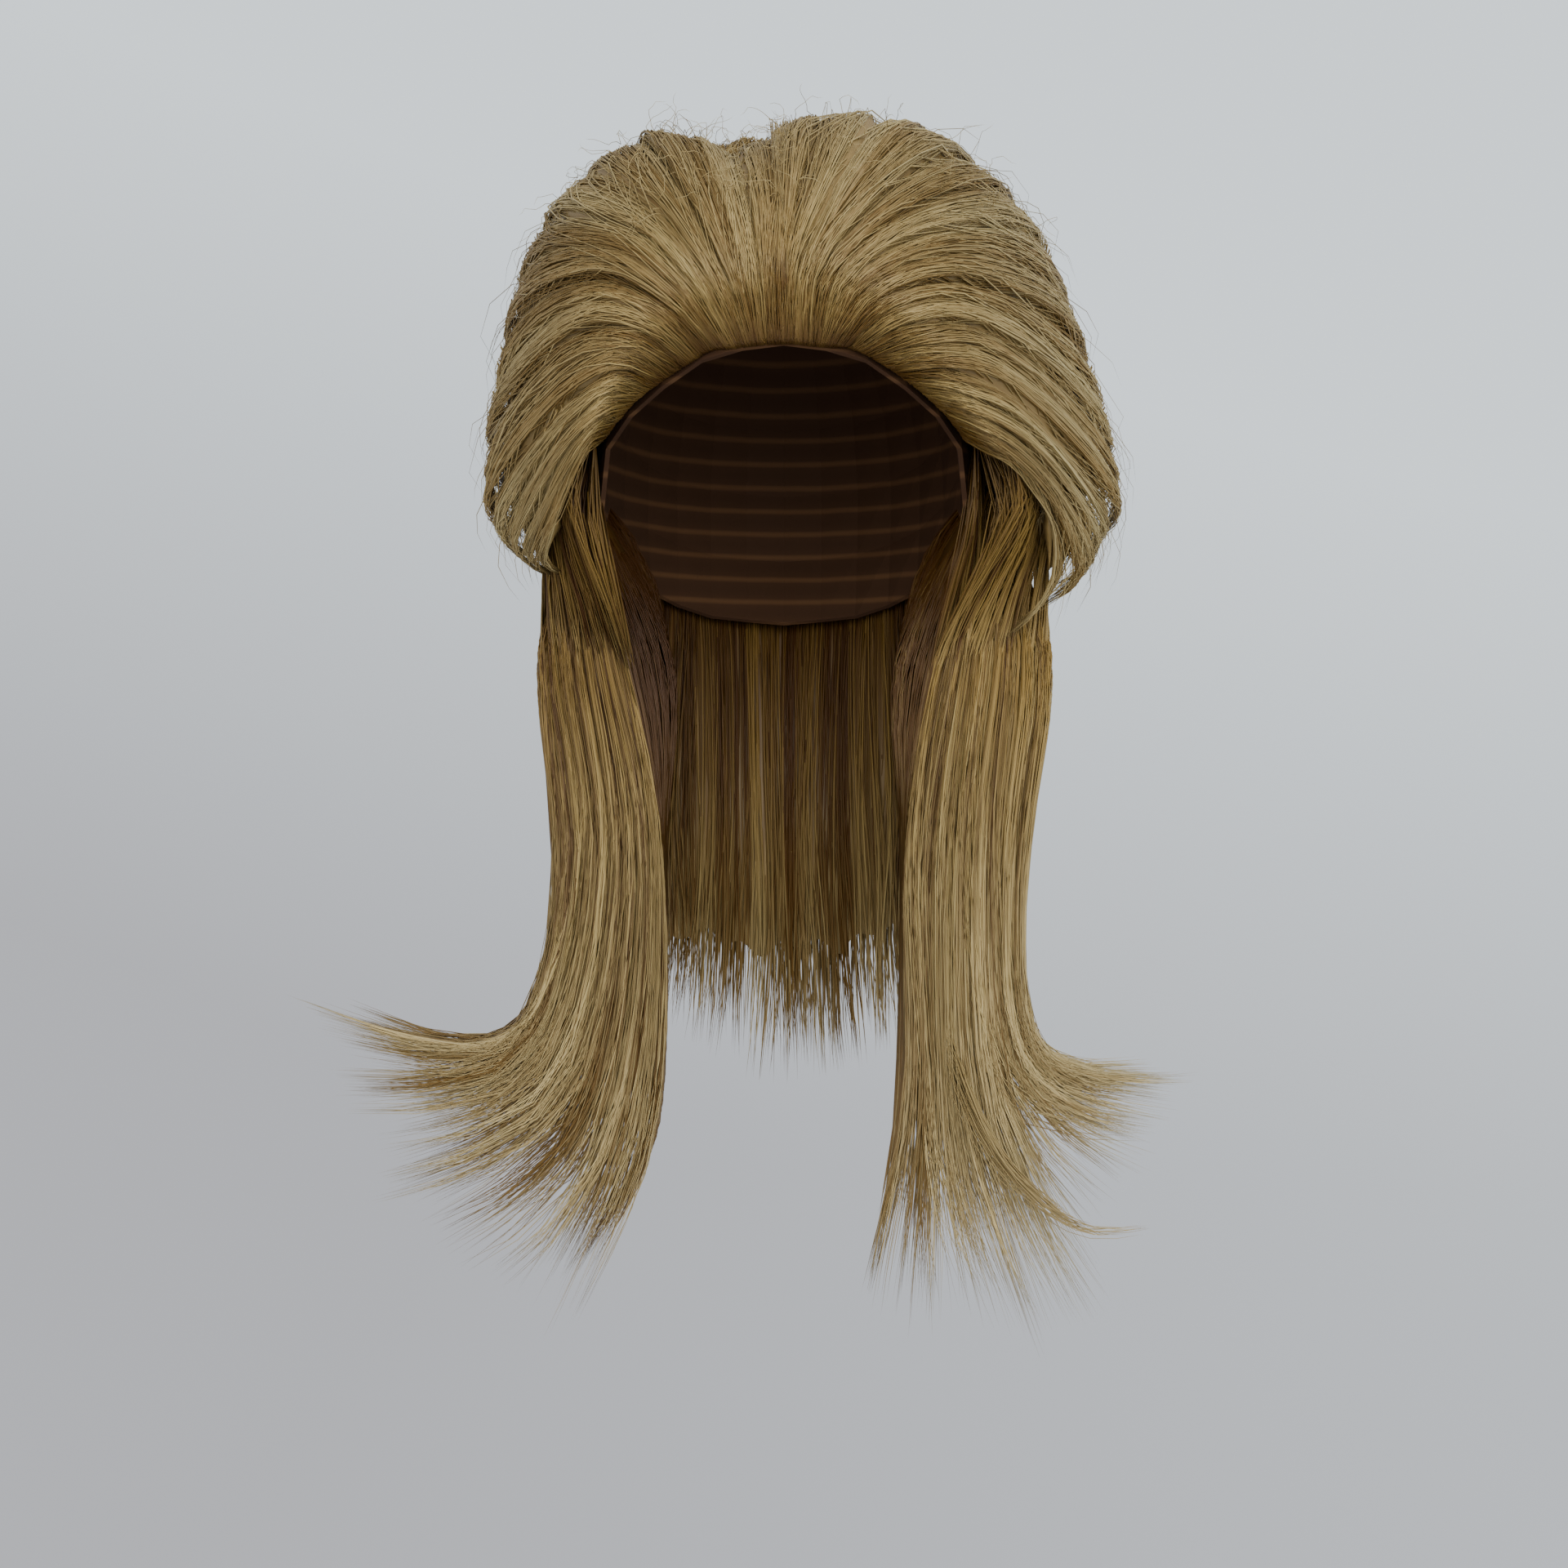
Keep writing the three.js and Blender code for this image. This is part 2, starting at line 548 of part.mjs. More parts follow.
function lengthSide(rows, side, span, grow) {
  const turns = side > 0 ? [lengthFrontTurn, lengthBackTurn] : [-lengthBackTurn, -lengthFrontTurn];
  const spread = grow > 0 ? rootPartTurn / 2 : 0;
  const root = rootBand(grow).intersect(wedge(turns[0] - spread, turns[1] + spread));
  return unite([root, ...lengthSheets(rows, side, span, grow)]);
}

const leftLengthSolid = lengthSide(leftLength, -1, leftReach, 0);
const rightLengthSolid = lengthSide(rightLength, 1, rightReach, 0);
const lengthsCut = unite([
  lengthSide(leftLength, -1, leftReach, fitGap),
  lengthSide(rightLength, 1, rightReach, fitGap),
]);

const napeAll = (grow) => {
  const spread = rootPartTurn * (grow > 0 ? 0.5 : 1);
  const roots = rootBand(grow).intersect(wedge(lengthBackTurn + spread, 360 - lengthBackTurn - spread));
  return unite([roots, napeSheet(8, grow)]);
};
const napeCut = napeAll(fitGap);

const frontHalf = block(-far, far, -far, partingDepth - half, -far, far);
const backHalf = block(-far, far, partingDepth + half, far, -far, far);
const leftHalf = block(-far, -half, -far, far, -far, far);
const rightHalf = block(half, far, -far, far, -far, far);

const sweepSide = (rows, side, span, count, sideHalf) => mainBody(
  sweepSheet(rows, side, span, count)
    .intersect(frontHalf)
    .intersect(sideHalf)
    .subtract(head)
    .subtract(lengthsCut)
    .subtract(napeCut),
);

const pieces = [
  { name: 'wig_cap', solid: mainBody(wigCap), colour: '#4a2c20', roughness: 0.85 },
  {
    name: 'sweep_left',
    solid: sweepSide(leftSweep, -1, leftSpan, 16, leftHalf),
    colour: '#a48658',
    roughness: 0.5,
  },
  {
    name: 'sweep_right',
    solid: sweepSide(rightSweep, 1, rightSpan, 17, rightHalf),
    colour: '#a98b5c',
    roughness: 0.5,
  },
  {
    name: 'crown_back',
    solid: mainBody(backSheet(13)
      .intersect(backHalf)
      .subtract(head)
      .subtract(lengthsCut)
      .subtract(napeCut)),
    colour: '#9c7f52',
    roughness: 0.5,
  },
  {
    name: 'length_left',
    solid: mainBody(leftLengthSolid.subtract(head).subtract(sweepSpace)),
    colour: '#ab8d60',
    roughness: 0.5,
  },
  {
    name: 'length_right',
    solid: mainBody(rightLengthSolid.subtract(head).subtract(sweepSpace)),
    colour: '#b39669',
    roughness: 0.5,
  },
  {
    name: 'nape_length',
    solid: mainBody(napeAll(0).subtract(head).subtract(sweepSpace).subtract(lengthsCut)),
    colour: '#94764a',
    roughness: 0.5,
  },
];

// A solid as a named mesh with its own material.
function toMesh(piece) {
  const { vertProperties, triVerts } = piece.solid.getMesh();
  const geometry = new THREE.BufferGeometry();
  geometry.setAttribute('position', new THREE.BufferAttribute(new Float32Array(vertProperties), 3));
  geometry.setIndex(new THREE.BufferAttribute(new Uint32Array(triVerts), 1));
  geometry.computeVertexNormals();
  const material = new THREE.MeshStandardMaterial({
    color: piece.colour,
    roughness: piece.roughness,
    metalness: 0,
    flatShading: true,
  });
  const mesh = new THREE.Mesh(geometry, material);
  mesh.name = piece.name;
  return mesh;
}

const group = new THREE.Group();
group.name = 'mullet_wig';
for (const piece of pieces) group.add(toMesh(piece));

export default group;
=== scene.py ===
# %% [markdown]
# # A mullet wig of synthetic hair
# The wig is a stretch cap with hair sewn on in sections: hair swept up and back from the face into
# a wing at each side, a layered crown, long hair at both sides and long hair at the nape.
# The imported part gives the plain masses. Here each mass becomes a combed bed with thousands of
# strands on it, so that the look comes from real geometry.

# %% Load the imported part
import json
import math

import bmesh
import bpy
import numpy as np
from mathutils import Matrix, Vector
from mathutils.bvhtree import BVHTree

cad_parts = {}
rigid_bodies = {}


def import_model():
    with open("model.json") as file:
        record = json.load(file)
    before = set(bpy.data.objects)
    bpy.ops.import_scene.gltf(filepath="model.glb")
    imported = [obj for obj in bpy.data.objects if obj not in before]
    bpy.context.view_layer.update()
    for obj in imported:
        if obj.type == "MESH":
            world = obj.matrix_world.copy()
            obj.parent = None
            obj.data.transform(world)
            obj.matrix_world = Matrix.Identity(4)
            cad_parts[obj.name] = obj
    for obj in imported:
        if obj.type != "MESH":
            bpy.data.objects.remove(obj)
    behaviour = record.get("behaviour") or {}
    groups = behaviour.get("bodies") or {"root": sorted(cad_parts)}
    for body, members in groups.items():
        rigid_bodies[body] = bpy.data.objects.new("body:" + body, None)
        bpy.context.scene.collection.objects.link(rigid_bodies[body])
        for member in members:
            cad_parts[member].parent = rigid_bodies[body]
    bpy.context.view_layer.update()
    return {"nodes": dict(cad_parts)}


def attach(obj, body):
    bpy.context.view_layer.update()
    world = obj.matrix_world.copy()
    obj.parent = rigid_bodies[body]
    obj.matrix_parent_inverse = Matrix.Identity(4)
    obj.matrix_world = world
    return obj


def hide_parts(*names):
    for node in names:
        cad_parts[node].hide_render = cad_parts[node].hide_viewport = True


for thing in list(bpy.data.objects):
    bpy.data.objects.remove(thing)
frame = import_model()
print("CAD nodes:", sorted(frame["nodes"]))

# %% [markdown]
# ## Sizes shared with the part
# Everything is in metres, with +Z up and the wearer facing -Y. The head that the cap fits is an
# ellipsoid with a skirt that tucks in below its widest level. A turn goes round from the front
# towards +X, and a drop goes down from the crown. These are the part's own values, so that each
# strand starts on the cap and lies where the solid lies.

# %% The head and the cap
head_half_width, head_front_depth, head_back_depth = 0.076, 0.090, 0.100
crown_depth, skirt_depth, nape_tuck, side_tuck = 0.095, 0.060, 0.028, 0.005
cap_wall = 0.002
cap_half = head_half_width + cap_wall

cap_hem = [
    (0, 0.057), (22, 0.0599), (53, 0.081), (64, 0.0892), (73, 0.122),
    (84, 0.122), (97, 0.109), (122, 0.136), (150, 0.1488), (180, 0.152),
]
sweep_hem = [(0, 0.057), (22, 0.0599), (53, 0.081), (64, 0.088), (110, 0.088), (180, 0.100)]


def level_at(hem, turn):
    """The level below the crown that a hem has at each turn."""
    return np.interp(np.abs(turn), [row[0] for row in hem], [row[1] for row in hem])


def drop_at(level):
    """The angle from the crown at which the head reaches a level."""
    over = np.degrees(np.arccos(np.clip(1 - level / crown_depth, -1, 1)))
    return np.where(level <= crown_depth, over, 90 + 36 * (level - crown_depth) / skirt_depth)


def head_point(turn, drop, off, tucked=1.0):
    """A point on the head, set off outwards."""
    t = np.radians(turn)
    d = np.radians(np.minimum(drop, 90))
    below = np.maximum(drop - 90, 0) / 36 * skirt_depth
    tuck = tucked * (below / skirt_depth) ** 2
    behind = np.cos(t) < 0
    depth = np.where(behind, head_back_depth - nape_tuck * tuck, head_front_depth) + off
    side = (head_half_width + off - side_tuck * tuck) * np.sin(d) * np.sin(t)
    height = (crown_depth + off) * np.cos(d) - crown_depth - below
    return np.stack([side, -depth * np.sin(d) * np.cos(t), height], -1)


print("cap width", round(2 * cap_half, 3), "hem from", cap_hem[0][1], "to", cap_hem[-1][1])

# %% [markdown]
# ## Guide locks
# A hairdresser thinks in a few guide locks and fills in between them. Each row of a table is one
# guide lock, and each pair is a station on it: a share across, from the middle to the outer edge,
# and a share down. The last two numbers of a swept lock say how far ahead it rises and how far
# back it ends. A smooth curve through the rows and along the stations then gives a sheet, and every
# strand is a line on that sheet.

# %% Guide locks of the swept hair
pouf_rise, wing_drop, pouf_front = 0.051, 0.140, 0.020
root_height = 0.0028
rise_ahead, crest_ahead, fall_ahead = 0.90, 0.77, 0.43
wing_out, sides = {"left": 0.043, "right": 0.059}, {"left": -1, "right": 1}
sweep_table = {
    "left": [
        # root turn, rise, crest, fall, side, tip, ahead, back
        (-3, (-0.04, 0.43), (-0.04, 0.26), (-0.04, 0.10), (-0.04, 0.01), (-0.04, 0.06), 1, 0.45),
        (5, (0.07, 0.44), (0.10, 0.28), (0.13, 0.14), (0.15, 0.07), (0.15, 0.11), 1, 0.45),
        (10, (0.17, 0.45), (0.29, 0.27), (0.42, 0.11), (0.50, 0.05), (0.56, 0.11), 1, 0.45),
        (16, (0.28, 0.46), (0.46, 0.33), (0.70, 0.25), (0.82, 0.23), (0.85, 0.34), 1, 0.45),
        (22, (0.36, 0.50), (0.57, 0.42), (0.81, 0.42), (0.95, 0.47), (0.95, 0.60), 1, 0.42),
        (29, (0.44, 0.55), (0.64, 0.53), (0.86, 0.60), (1.00, 0.70), (0.95, 0.84), 1, 0.32),
        (38, (0.51, 0.62), (0.68, 0.66), (0.88, 0.76), (0.99, 0.86), (0.89, 0.97), 0.92, 0.12),
        (48, (0.57, 0.70), (0.70, 0.77), (0.82, 0.87), (0.88, 0.95), (0.80, 1.02), 0.82, -0.08),
        (62, (0.63, 0.76), (0.70, 0.84), (0.75, 0.92), (0.78, 0.97), (0.76, 1.01), 0.65, -0.22),
    ],
    "right": [
        (-3, (-0.04, 0.43), (-0.04, 0.26), (-0.04, 0.10), (-0.04, 0.01), (-0.04, 0.06), 1, 0.45),
        (3, (0.03, 0.43), (0.12, 0.25), (0.21, 0.08), (0.26, 0.00), (0.29, 0.07), 1, 0.45),
        (7, (0.09, 0.43), (0.24, 0.27), (0.42, 0.12), (0.54, 0.08), (0.58, 0.15), 1, 0.45),
        (11, (0.16, 0.45), (0.35, 0.33), (0.60, 0.25), (0.76, 0.24), (0.79, 0.36), 1, 0.45),
        (15, (0.24, 0.48), (0.44, 0.41), (0.69, 0.40), (0.88, 0.45), (0.89, 0.60), 1, 0.42),
        (20, (0.31, 0.52), (0.51, 0.49), (0.76, 0.54), (0.97, 0.66), (0.95, 0.80), 1, 0.35),
        (28, (0.40, 0.59), (0.58, 0.59), (0.81, 0.68), (1.00, 0.82), (0.97, 0.93), 0.96, 0.18),
        (40, (0.48, 0.67), (0.65, 0.71), (0.82, 0.80), (0.94, 0.91), (0.91, 1.00), 0.89, 0.02),
        (51, (0.55, 0.73), (0.68, 0.78), (0.81, 0.87), (0.89, 0.98), (0.84, 1.07), 0.80, -0.10),
        (62, (0.61, 0.78), (0.69, 0.82), (0.77, 0.91), (0.77, 1.03), (0.67, 1.18), 0.65, -0.24),
    ],
}


def sweep_rows(which):
    """The stations of the swept hair's guide locks: rows, stations and x, y, z."""
    side, span = sides[which], cap_half + wing_out[which]
    front = head_front_depth + cap_wall + pouf_front
    rows = []
    for root, *pairs, ahead, back in sweep_table[which]:
        near, far = fall_ahead * front, back * head_back_depth
        depths = -ahead * rise_ahead * front, -ahead * crest_ahead * front, -near, 0.5 * (far - near), far
        stations = [head_point(side * root, drop_at(level_at(cap_hem, root)), cap_wall + root_height)]
        for (across, down), depth in zip(pairs, depths):
            stations.append([side * across * span, depth, pouf_rise - down * (pouf_rise + wing_drop)])
        rows.append(stations)
    return np.array(rows, float)


print("swept hair:", {which: sweep_rows(which).shape for which in sweep_table})

# %% [markdown]
# The long hair hangs from a line above each ear and ends in a flick. Four stations follow the root:
# by the ear, at the neck, at the bend and at the tip. One table serves several layers: the inner
# layer starts further back, and the hair that falls over the ear starts higher up.

# %% Guide locks of the long hair at the sides
length_drop = 0.435
flick_out = {"left": 0.105, "right": 0.080}
length_ahead, layer_behind, root_lift, over_ear = 0.070, 0.019, 0.009, 0.040
length_table = {
    "left": [
        # root turn, ear, neck, bend, tip
        (106, (0.54, 0.38), (0.50, 0.60), (0.60, 0.74), (0.99, 0.72)),
        (100, (0.52, 0.38), (0.46, 0.59), (0.57, 0.75), (0.90, 0.78)),
        (95, (0.49, 0.38), (0.42, 0.58), (0.53, 0.77), (0.87, 0.84)),
        (90, (0.45, 0.38), (0.38, 0.58), (0.48, 0.79), (0.82, 0.90)),
        (86, (0.42, 0.38), (0.34, 0.58), (0.42, 0.81), (0.68, 0.93)),
        (82, (0.39, 0.38), (0.30, 0.58), (0.35, 0.82), (0.52, 1.00)),
        (78, (0.35, 0.39), (0.26, 0.58), (0.27, 0.82), (0.44, 0.99)),
    ],
    "right": [
        (106, (0.68, 0.38), (0.61, 0.60), (0.64, 0.75), (0.98, 0.78)),
        (100, (0.64, 0.38), (0.57, 0.59), (0.60, 0.76), (0.89, 0.83)),
        (95, (0.58, 0.38), (0.52, 0.58), (0.56, 0.77), (0.80, 0.86)),
        (90, (0.54, 0.38), (0.47, 0.58), (0.49, 0.80), (0.66, 1.00)),
        (86, (0.49, 0.38), (0.41, 0.58), (0.42, 0.82), (0.52, 1.01)),
        (82, (0.44, 0.38), (0.35, 0.58), (0.34, 0.82), (0.26, 0.99)),
        (78, (0.39, 0.39), (0.30, 0.58), (0.29, 0.80), (0.15, 0.96)),
    ],
}
ahead_shares = (0.29, 0.57, 0.83, 1.0)


def length_rows(which, turn=0.0, behind=0.0, inward=0.0, reach=1.0, higher=0.0, out=0.0):
    """The stations of one layer of the long hair. higher starts it nearer the crown, from where it
    first falls over the ear, and out is how far it stands off the head there."""
    side, span = sides[which], cap_half + flick_out[which]
    rows = []
    for order, (root, *pairs) in enumerate(length_table[which]):
        share = order / (len(length_table[which]) - 1)
        level = level_at(sweep_hem, root + turn) + root_lift - higher
        off = cap_wall + (0.5 if higher else 1) * root_lift
        turned = side * (root + turn)
        stations = [head_point(turned, drop_at(level), off)]
        if higher:
            stations.append(head_point(turned, drop_at(level + over_ear), off + out))
        for place, (across, down) in enumerate(pairs):
            if place == 3:
                across = pairs[2][0] + reach * (across - pairs[2][0])
                down = pairs[2][1] + reach * (down - pairs[2][1])
            across -= share * inward if place == 0 else 0
            depth = behind * layer_behind - ahead_shares[place] * length_ahead
            stations.append([side * across * span, depth, -down * length_drop])
        rows.append(stations)
    return np.array(rows, float)


print("long hair:", {which: length_rows(which).shape for which in length_table})

# %% [markdown]
# The crown is close to even on both sides, so a short table is enough. It fans out from the parting
# round the back of the head. It starts ahead of the parting, under the swept hair, so that no edge
# shows where they meet.

# %% Guide locks of the crown
parting_depth, back_level, side_level = 0.024, 0.168, 0.138
under_sweep, under_lift, pouf_settles = 0.16, 0.72, 0.0025
top_fan, foot_fan, side_starts, back_tuck = 76, 84, 0.9, 0.4
back_stations = [(0, 0.98), (0.3, 0.88), (0.6, 0.70), (0.82, 0.57), (1, 0.42)]


def crown_spot(across, behind):
    """The turn and the drop of a point on the head, from its shares to the side and to the back."""
    drop = math.degrees(math.asin(min(math.hypot(across, behind), 1)))
    return math.degrees(math.atan2(across, -behind)), drop


def crown_rows(count=17, reach=1.12):
    """The stations of the hair from the crown down the back, from -X round to +X. reach takes it
    further round at each side, where it sinks in under the swept hair."""
    rows = []
    for place in np.linspace(-reach, reach, count):
        past = np.clip((abs(place) - side_starts) / (reach - side_starts), 0, 1)
        behind = (0.6 - past) * parting_depth / head_back_depth
        across = math.sin(math.radians(top_fan * place))
        out = wing_out["left" if place < 0 else "right"]
        lift = ((pouf_rise - pouf_settles) * (1 - across**2) + out * across**2) * (1 - 0.3 * past)
        top_turn, top_drop = crown_spot(across, behind)
        foot_turn = (-180 if place < 0 else 180) - foot_fan * place
        foot_drop = drop_at(back_level + (side_level - back_level) * min(place**2, 1))
        stations = [head_point(*crown_spot(across, behind - under_sweep), cap_wall + under_lift * lift, back_tuck)]
        for down, share in back_stations:
            turn = top_turn + (foot_turn - top_turn) * down
            drop = top_drop + (foot_drop - top_drop) * down
            stations.append(head_point(turn, drop, cap_wall + share * lift, back_tuck))
        rows.append(stations)
    return np.array(rows, float)


print("crown:", crown_rows().shape)

# %% [markdown]
# The nape hangs from the lower part of the cap, and its table gives one half, from the middle
# outwards. A narrow section behind each ear joins the side lengths to the nape. Its stations are
# plain x, y and z, because it fits between two sections that are already placed.

# %% Guide locks of the nape and behind the ears
nape_drop, nape_half_width = 0.360, 0.052
nape_table = [
    # root turn, neck, bend, tip
    (180, (0, 0.62, 0.80), (0, 0.82, 0.83), (0, 1.00, 0.95)),
    (158, (0.52, 0.62, 0.77), (0.54, 0.81, 0.80), (0.60, 0.98, 0.92)),
    (138, (1.12, 0.61, 0.66), (1.10, 0.79, 0.70), (1.18, 0.92, 0.80)),
]
ear_table = [
    # root turn, ear, neck, bend, tip
    (108, (0.082, 0.014, -0.165), (0.076, -0.006, -0.235), (0.078, -0.026, -0.300), (0.092, -0.040, -0.352)),
    (118, (0.076, 0.030, -0.168), (0.068, 0.018, -0.235), (0.067, 0.006, -0.300), (0.077, -0.002, -0.350)),
    (128, (0.068, 0.050, -0.170), (0.061, 0.042, -0.235), (0.059, 0.036, -0.298), (0.065, 0.034, -0.345)),
    (139, (0.059, 0.068, -0.172), (0.056, 0.064, -0.235), (0.055, 0.064, -0.295), (0.060, 0.070, -0.342)),
]


def nape_rows(count=9):
    """The stations of the hair behind the neck, from -X round to +X."""
    guides = np.array([[root, *neck, *bend, *tip] for root, neck, bend, tip in nape_table], float)
    rows = []
    for place in np.linspace(-1, 1, count):
        side = -1 if place < 0 else 1
        row = [np.interp(abs(place) * 2, [0, 1, 2], column) for column in guides.T]
        level = level_at(sweep_hem, 180) + 2 * root_lift
        stations = [head_point(side * row[0], drop_at(level), cap_wall + root_lift)]
        for k in (1, 4, 7):
            across, down, behind = row[k : k + 3]
            stations.append([side * across * nape_half_width, behind * head_back_depth, -down * nape_drop])
        rows.append(stations)
    return np.array(rows, float)


def ear_rows(which):
    """The stations of the hair behind one ear, which joins the side lengths to the nape."""
    side, rows = sides[which], []
    for root, *stations in ear_table:
        level = level_at(sweep_hem, root) + 2 * root_lift
        start = head_point(side * root, drop_at(level), cap_wall + root_lift)
        rows.append([start] + [[side * x, y, z] for x, y, z in stations])
    return np.array(rows, float)


print("nape and ear:", nape_rows().shape, ear_rows("left").shape)

# %% [markdown]
# ## Lines on a sheet
# `between` is the smooth curve through four neighbours that animators know as Catmull-Rom. Used
# across the rows and then along the stations, it turns the guide locks into a smooth sheet, and
# small steps on that sheet give the way it faces.

# %% Points and facing on a sheet
look_step = 0.01


def between(values, at):
    """Values on the smooth curve through the first axis, one place for each item."""
    last = values.shape[0] - 1
    low = np.clip(np.floor(at).astype(int), 0, last - 1)
    f = (at - low)[..., None]
    item = np.indices(at.shape)
    a, b, c, d = (values[(np.clip(low + k, 0, last), *item)] for k in (-1, 0, 1, 2))
    return b + 0.5 * f * (c - a + f * (2 * a - 5 * b + 4 * c - d + f * (3 * b - a - 3 * c + d)))


def on_sheet(rows, share, along):
    """Points on a sheet at shares across and shares along, which have the same shape."""
    stations = []
    for station in range(rows.shape[1]):
        column = np.broadcast_to(rows[:, station].reshape(-1, *([1] * share.ndim), 3),
                                 (rows.shape[0], *share.shape, 3))
        stations.append(between(column, np.clip(share, 0, 1) * (rows.shape[0] - 1)))
    return between(np.stack(stations), np.clip(along, 0, 1) * (rows.shape[1] - 1))


def unit(vectors):
    """The same directions at length 1."""
    return vectors / np.maximum(np.linalg.norm(vectors, axis=-1, keepdims=True), 1e-12)


def facing(rows, share, along, outward):
    """The way that a sheet faces. outward is 1 or -1, to choose its outer side."""
    across = on_sheet(rows, share + look_step, along) - on_sheet(rows, share - look_step, along)
    down = on_sheet(rows, share, along + look_step) - on_sheet(rows, share, along - look_step)
    return unit(outward * np.cross(across, down))


def ease(value, low, high):
    """Goes smoothly from 0 to 1 between low and high."""
    t = np.clip((value - low) / (high - low), 0, 1)
    return t * t * (3 - 2 * t)


print("a quarter of the way, eased:", ease(0.25, 0, 1))

# %% [markdown]
# ## The eight sections
# Each has its guide locks, the side of their sheet that faces out (1 or -1), the depth of its hair,
# the number of locks that it is combed into, and how deep the grooves between them are.

# %% List the sections
sections = {}
for seed, (name, rows, outward, depth, locks, relief) in enumerate((
    ("sweep_left", sweep_rows("left"), -1, 0.012, 16, 0.006),
    ("sweep_right", sweep_rows("right"), 1, 0.012, 17, 0.006),
    ("crown_back", crown_rows(), 1, 0.012, 13, 0.006),
    ("length_left", length_rows("left"), -1, 0.012, 8, 0.004),
    ("length_right", length_rows("right"), 1, 0.012, 8, 0.004),
    ("nape_length", nape_rows(), 1, 0.013, 8, 0.004),
    ("ear_left", ear_rows("left"), 1, 0.010, 5, 0.003),
    ("ear_right", ear_rows("right"), -1, 0.010, 5, 0.003),
), start=40):
    sections[name] = dict(rows=rows, outward=outward, depth=depth, behind=None, locks=locks, relief=relief,
                          seed=seed, settles="sweep" in name)
    middle = facing(rows, np.array([0.5]), np.array([0.5]), outward)[0]
    print(name, "has", locks, "locks and faces", np.round(middle, 2))

# %% [markdown]
# ## How deep a section is
# Hair is not one sheet. Over the head it is about a centimetre of strands on the cap, and where it
# hangs it is a thick bundle with a front and a back. `place` turns a share across, a share along
# and a share inwards into a point: 0 inwards is the outer face and 1 is the inner face. The long
# hair at the sides has a second sheet of guide locks behind the first, so its inner face follows
# that one.

# %% Points inside a section
for which in sides:
    sections["length_" + which]["behind"] = length_rows(which, turn=24, behind=1, inward=0.1, reach=0.8)
past_sheet = 0.4


def place(section, share, along, inwards):
    """A point in a section, and the way that its outer face looks there."""
    outer = on_sheet(section["rows"], share, along)
    normal = facing(section["rows"], share, along, section["outward"])
    thin = section["depth"] * ease(along, -0.1, 0.15) * (1 - 0.6 * ease(along, 0.7, 1.05))
    if section["behind"] is None:
        return outer - (inwards * thin)[..., None] * normal, normal
    far = (1 + past_sheet) * inwards
    inner = on_sheet(section["behind"], share, along)
    past = np.maximum(far - 1, 0) / past_sheet * thin
    flat = normal * (1, 0.4, 0) + (0, -0.6, 0)
    return outer + np.clip(far, 0, 1)[..., None] * (inner - outer) - past[..., None] * flat, normal


probe = place(sections["length_left"], np.array([0.5]), np.array([0.6]), np.array([1.0]))[0][0]
print("inner face of the left length:", np.round(probe, 3))

# %% [markdown]
# ## Where the sweeps meet the crown
# The swept hair runs back over the head until it meets the crown. `settle` finds the nearest point
# of the crown's sheet in a search tree, and lays each strand that has passed the top of the head on
# it, so that no step is left there. `bridge_rows` takes the first guide locks of a sweep on down the
# crown, for strands that belong to both and hide the join.

# %% The join of the sweeps and the crown
share, along = np.meshgrid(np.linspace(0, 1, 64), np.linspace(0, 1, 40), indexing="ij")
spots = on_sheet(sections["crown_back"]["rows"], share, along).reshape(-1, 3)
corner = np.arange(share.size).reshape(share.shape)
quads = np.stack([corner[:-1, :-1], corner[1:, :-1], corner[1:, 1:], corner[:-1, 1:]], -1)
crown_tree = BVHTree.FromPolygons(spots.tolist(), quads.reshape(-1, 4).tolist())


def settle(point, height, start=0.008, full=0.026):
    """Lays points that have passed the top of the head on the crown's sheet, at a height above it."""
    flat = point.reshape(-1, 3)
    high = np.broadcast_to(height, point.shape[:-1]).reshape(-1)
    for k in np.nonzero(flat[:, 1] > start)[0]:
        spot, normal, _, _ = crown_tree.find_nearest(flat[k].tolist())
        away = np.array(spot) - (0, 0, -crown_depth)
        up = np.array(normal) * np.sign(np.dot(normal, away))
        weight = ease(flat[k, 1], start, full)
        flat[k] += weight * (np.array(spot) + high[k] * up - flat[k])
    return flat.reshape(point.shape)


def bridge_rows(which, steps=(0.14, 0.28, 0.42)):
    """Guide locks that leave one side's swept hair at the back and run on down the crown."""
    crown = sections["crown_back"]["rows"]
    share, along = (item.ravel() for item in np.meshgrid(np.linspace(0.02, 0.98, 97), np.linspace(0.1, 0.5, 41)))
    spots = on_sheet(crown, share, along)
    rows = []
    for row in sections["sweep_" + which]["rows"][:6]:
        near = np.linalg.norm(spots - row[-1], axis=1).argmin()
        rows.append([*row[4:], *on_sheet(crown, np.full(3, share[near]), along[near] + np.array(steps))])
    return np.array(rows, float)


print("rows of the bridges:", {which: bridge_rows(which).shape for which in sweep_table})

# %% [markdown]
# ## Making a mesh from arrays
# A section needs about two thousand strands, so its mesh is built in one go from arrays of corners
# and faces. A UV map goes with it: u runs from root to tip and v picks one of 64 tones. The colours
# depend on these two numbers alone, so a small picture can hold them.

# %% Arrays to an object
tone_rows, uv_edge = 64, 0.02


def add_object(name, data):
    """An object at the origin with a mesh, a lamp or a camera in it. A mesh is shaded smooth."""
    if isinstance(data, bpy.types.Mesh):
        data.polygons.foreach_set("use_smooth", [True] * len(data.polygons))
    thing = bpy.data.objects.new(name, data)
    bpy.context.collection.objects.link(thing)
    return thing


def from_bmesh(name, bm):
    """An object from a bmesh, with its faces turned outwards."""
    bmesh.ops.recalc_face_normals(bm, faces=bm.faces[:])
    mesh = bpy.data.meshes.new(name)
    bm.to_mesh(mesh)
    bm.free()
    return add_object(name, mesh)


